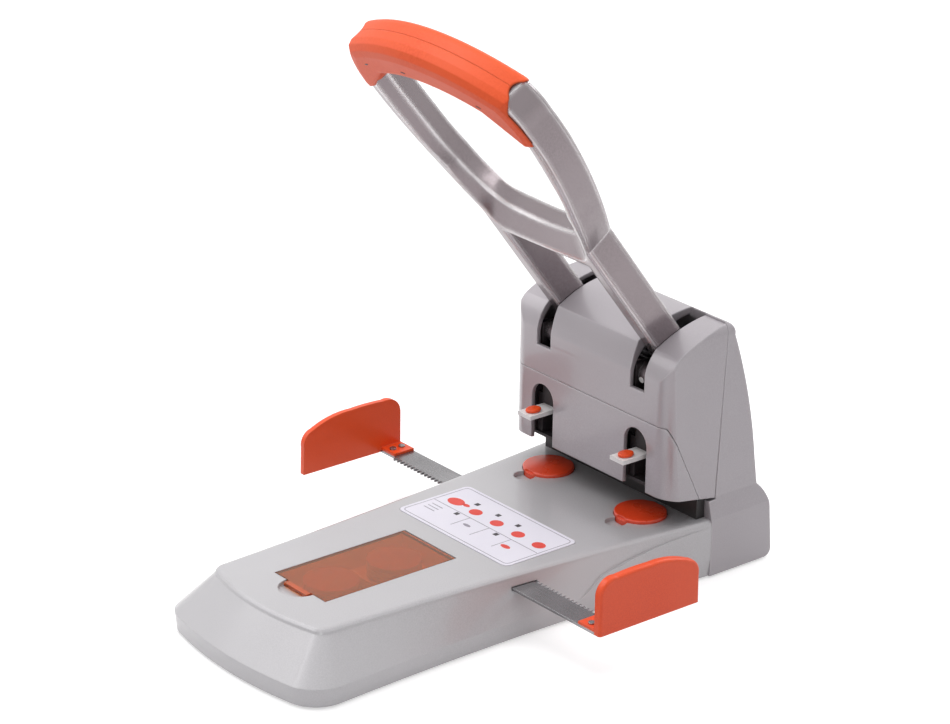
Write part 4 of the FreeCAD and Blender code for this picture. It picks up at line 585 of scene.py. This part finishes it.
# camera at the photograph's place
view = {"lens": 125.05, "sensor": 36.0, "clipEnd": 20.0, "place": (1288.0, -1052.4, 808.6),
        "right": (0.6299, 0.7766, 0.0131), "back": (0.7171, -0.5880, 0.3741)}
cameraData = bpy.data.cameras.new("photo_camera")
cameraData.lens = view["lens"]
cameraData.sensor_width = view["sensor"]
cameraData.sensor_fit = "HORIZONTAL"
cameraData.clip_end = view["clipEnd"]
camera = bpy.data.objects.new("photo_camera", cameraData)
back = Vector(view["back"]).normalized()
right = Vector(view["right"])
right = (right - back * right.dot(back)).normalized()
up = back.cross(right)
aimed = Matrix((right, up, back)).transposed().to_4x4()
camera.matrix_world = Matrix.Translation(Vector(view["place"]) * mm) @ aimed
bpy.context.scene.collection.objects.link(camera)
bpy.context.scene.camera = camera


# floor, pale surroundings and lamps
studio = {"floor": 3.2, "floorColor": (204, 203, 204), "floorRough": 0.9, "floorShine": 0.1, "floorLift": 0.56,
          "around": 0.42, "white": (1.0, 1.0, 1.0, 1.0)}


def anyRay(tree, *kinds):
    # 1 where a camera ray or a ray of a named kind arrives
    rays = tree.nodes.new("ShaderNodeLightPath").outputs
    arrived = rays["Is Camera Ray"]
    for kind in kinds:
        arrived = addMath(tree, "MAXIMUM", arrived, rays["Is %s Ray" % kind])
    return arrived


bpy.ops.mesh.primitive_plane_add(size=studio["floor"])
floor = bpy.context.object
floor.name = "studio_floor"
floorMaterial, floorTree, floorShader = newMaterial("studio_floor")
for socketName, value in (("Roughness", studio["floorRough"]), ("Specular IOR Level", studio["floorShine"]),
                          ("Base Color", paint(*studio["floorColor"])), ("Emission Color", studio["white"])):
    floorShader.inputs[socketName].default_value = value
floorSeen = anyRay(floorTree, "Transmission", "Glossy")
plug(floorTree, addMath(floorTree, "MULTIPLY", floorSeen, studio["floorLift"]),
     floorShader.inputs["Emission Strength"])
setFinish(floor, floorMaterial)

world = bpy.data.worlds.new("studio")
bpy.context.scene.world = world
world.use_nodes = True
worldTree = world.node_tree
soft = worldTree.nodes["Background"]
white = worldTree.nodes.new("ShaderNodeBackground")
for background, strength in ((soft, studio["around"]), (white, 1.0)):
    background.inputs["Color"].default_value = studio["white"]
    background.inputs["Strength"].default_value = strength
blend = worldTree.nodes.new("ShaderNodeMixShader")
plug(worldTree, anyRay(worldTree, "Glossy", "Transmission"), blend.inputs["Fac"])
plug(worldTree, soft.outputs["Background"], blend.inputs[1])
plug(worldTree, white.outputs["Background"], blend.inputs[2])
plug(worldTree, blend.outputs["Shader"], worldTree.nodes["World Output"].inputs["Surface"])

lamps = {
    "top_lamp": {"place": (0.0, 0.1, 1.7), "aim": (0.0, 0.0, 0.05), "size": (1.8, 1.4), "watts": 19.0},
    "key_lamp": {"place": (-1.1, -0.7, 1.3), "aim": (0.0, 0.0, 0.1), "size": (1.2, 1.2), "watts": 5.0},
    "rim_lamp": {"place": (-0.2, 1.5, 1.1), "aim": (0.0, 0.0, 0.2), "size": (1.4, 0.6), "watts": 8.0},
    "soft_lamp": {"place": (-0.75, -0.65, 1.75), "aim": (0.0, 0.0, 0.2), "size": (1.5, 0.8), "watts": 8.5},
    "nose_lamp": {"place": (0.88, -1.15, 0.25), "aim": (0.06, -0.16, 0.02), "size": (0.2, 0.5), "watts": 1.6},
}
for name, lamp in lamps.items():
    lampData = bpy.data.lights.new(name, "AREA")
    lampData.shape = "RECTANGLE"
    lampData.size, lampData.size_y = lamp["size"]
    lampData.energy = lamp["watts"]
    holder = bpy.data.objects.new(name, lampData)
    holder.visible_glossy = name != "top_lamp"  # its mirror image would burn out the table
    holder.visible_camera = False
    place = Vector(lamp["place"])
    aim = (Vector(lamp["aim"]) - place).to_track_quat("-Z", "Y")
    holder.matrix_world = Matrix.Translation(place) @ aim.to_matrix().to_4x4()
    bpy.context.scene.collection.objects.link(holder)
bpy.context.scene.view_settings.view_transform = "Standard"
print("camera, floor and lamps placed")
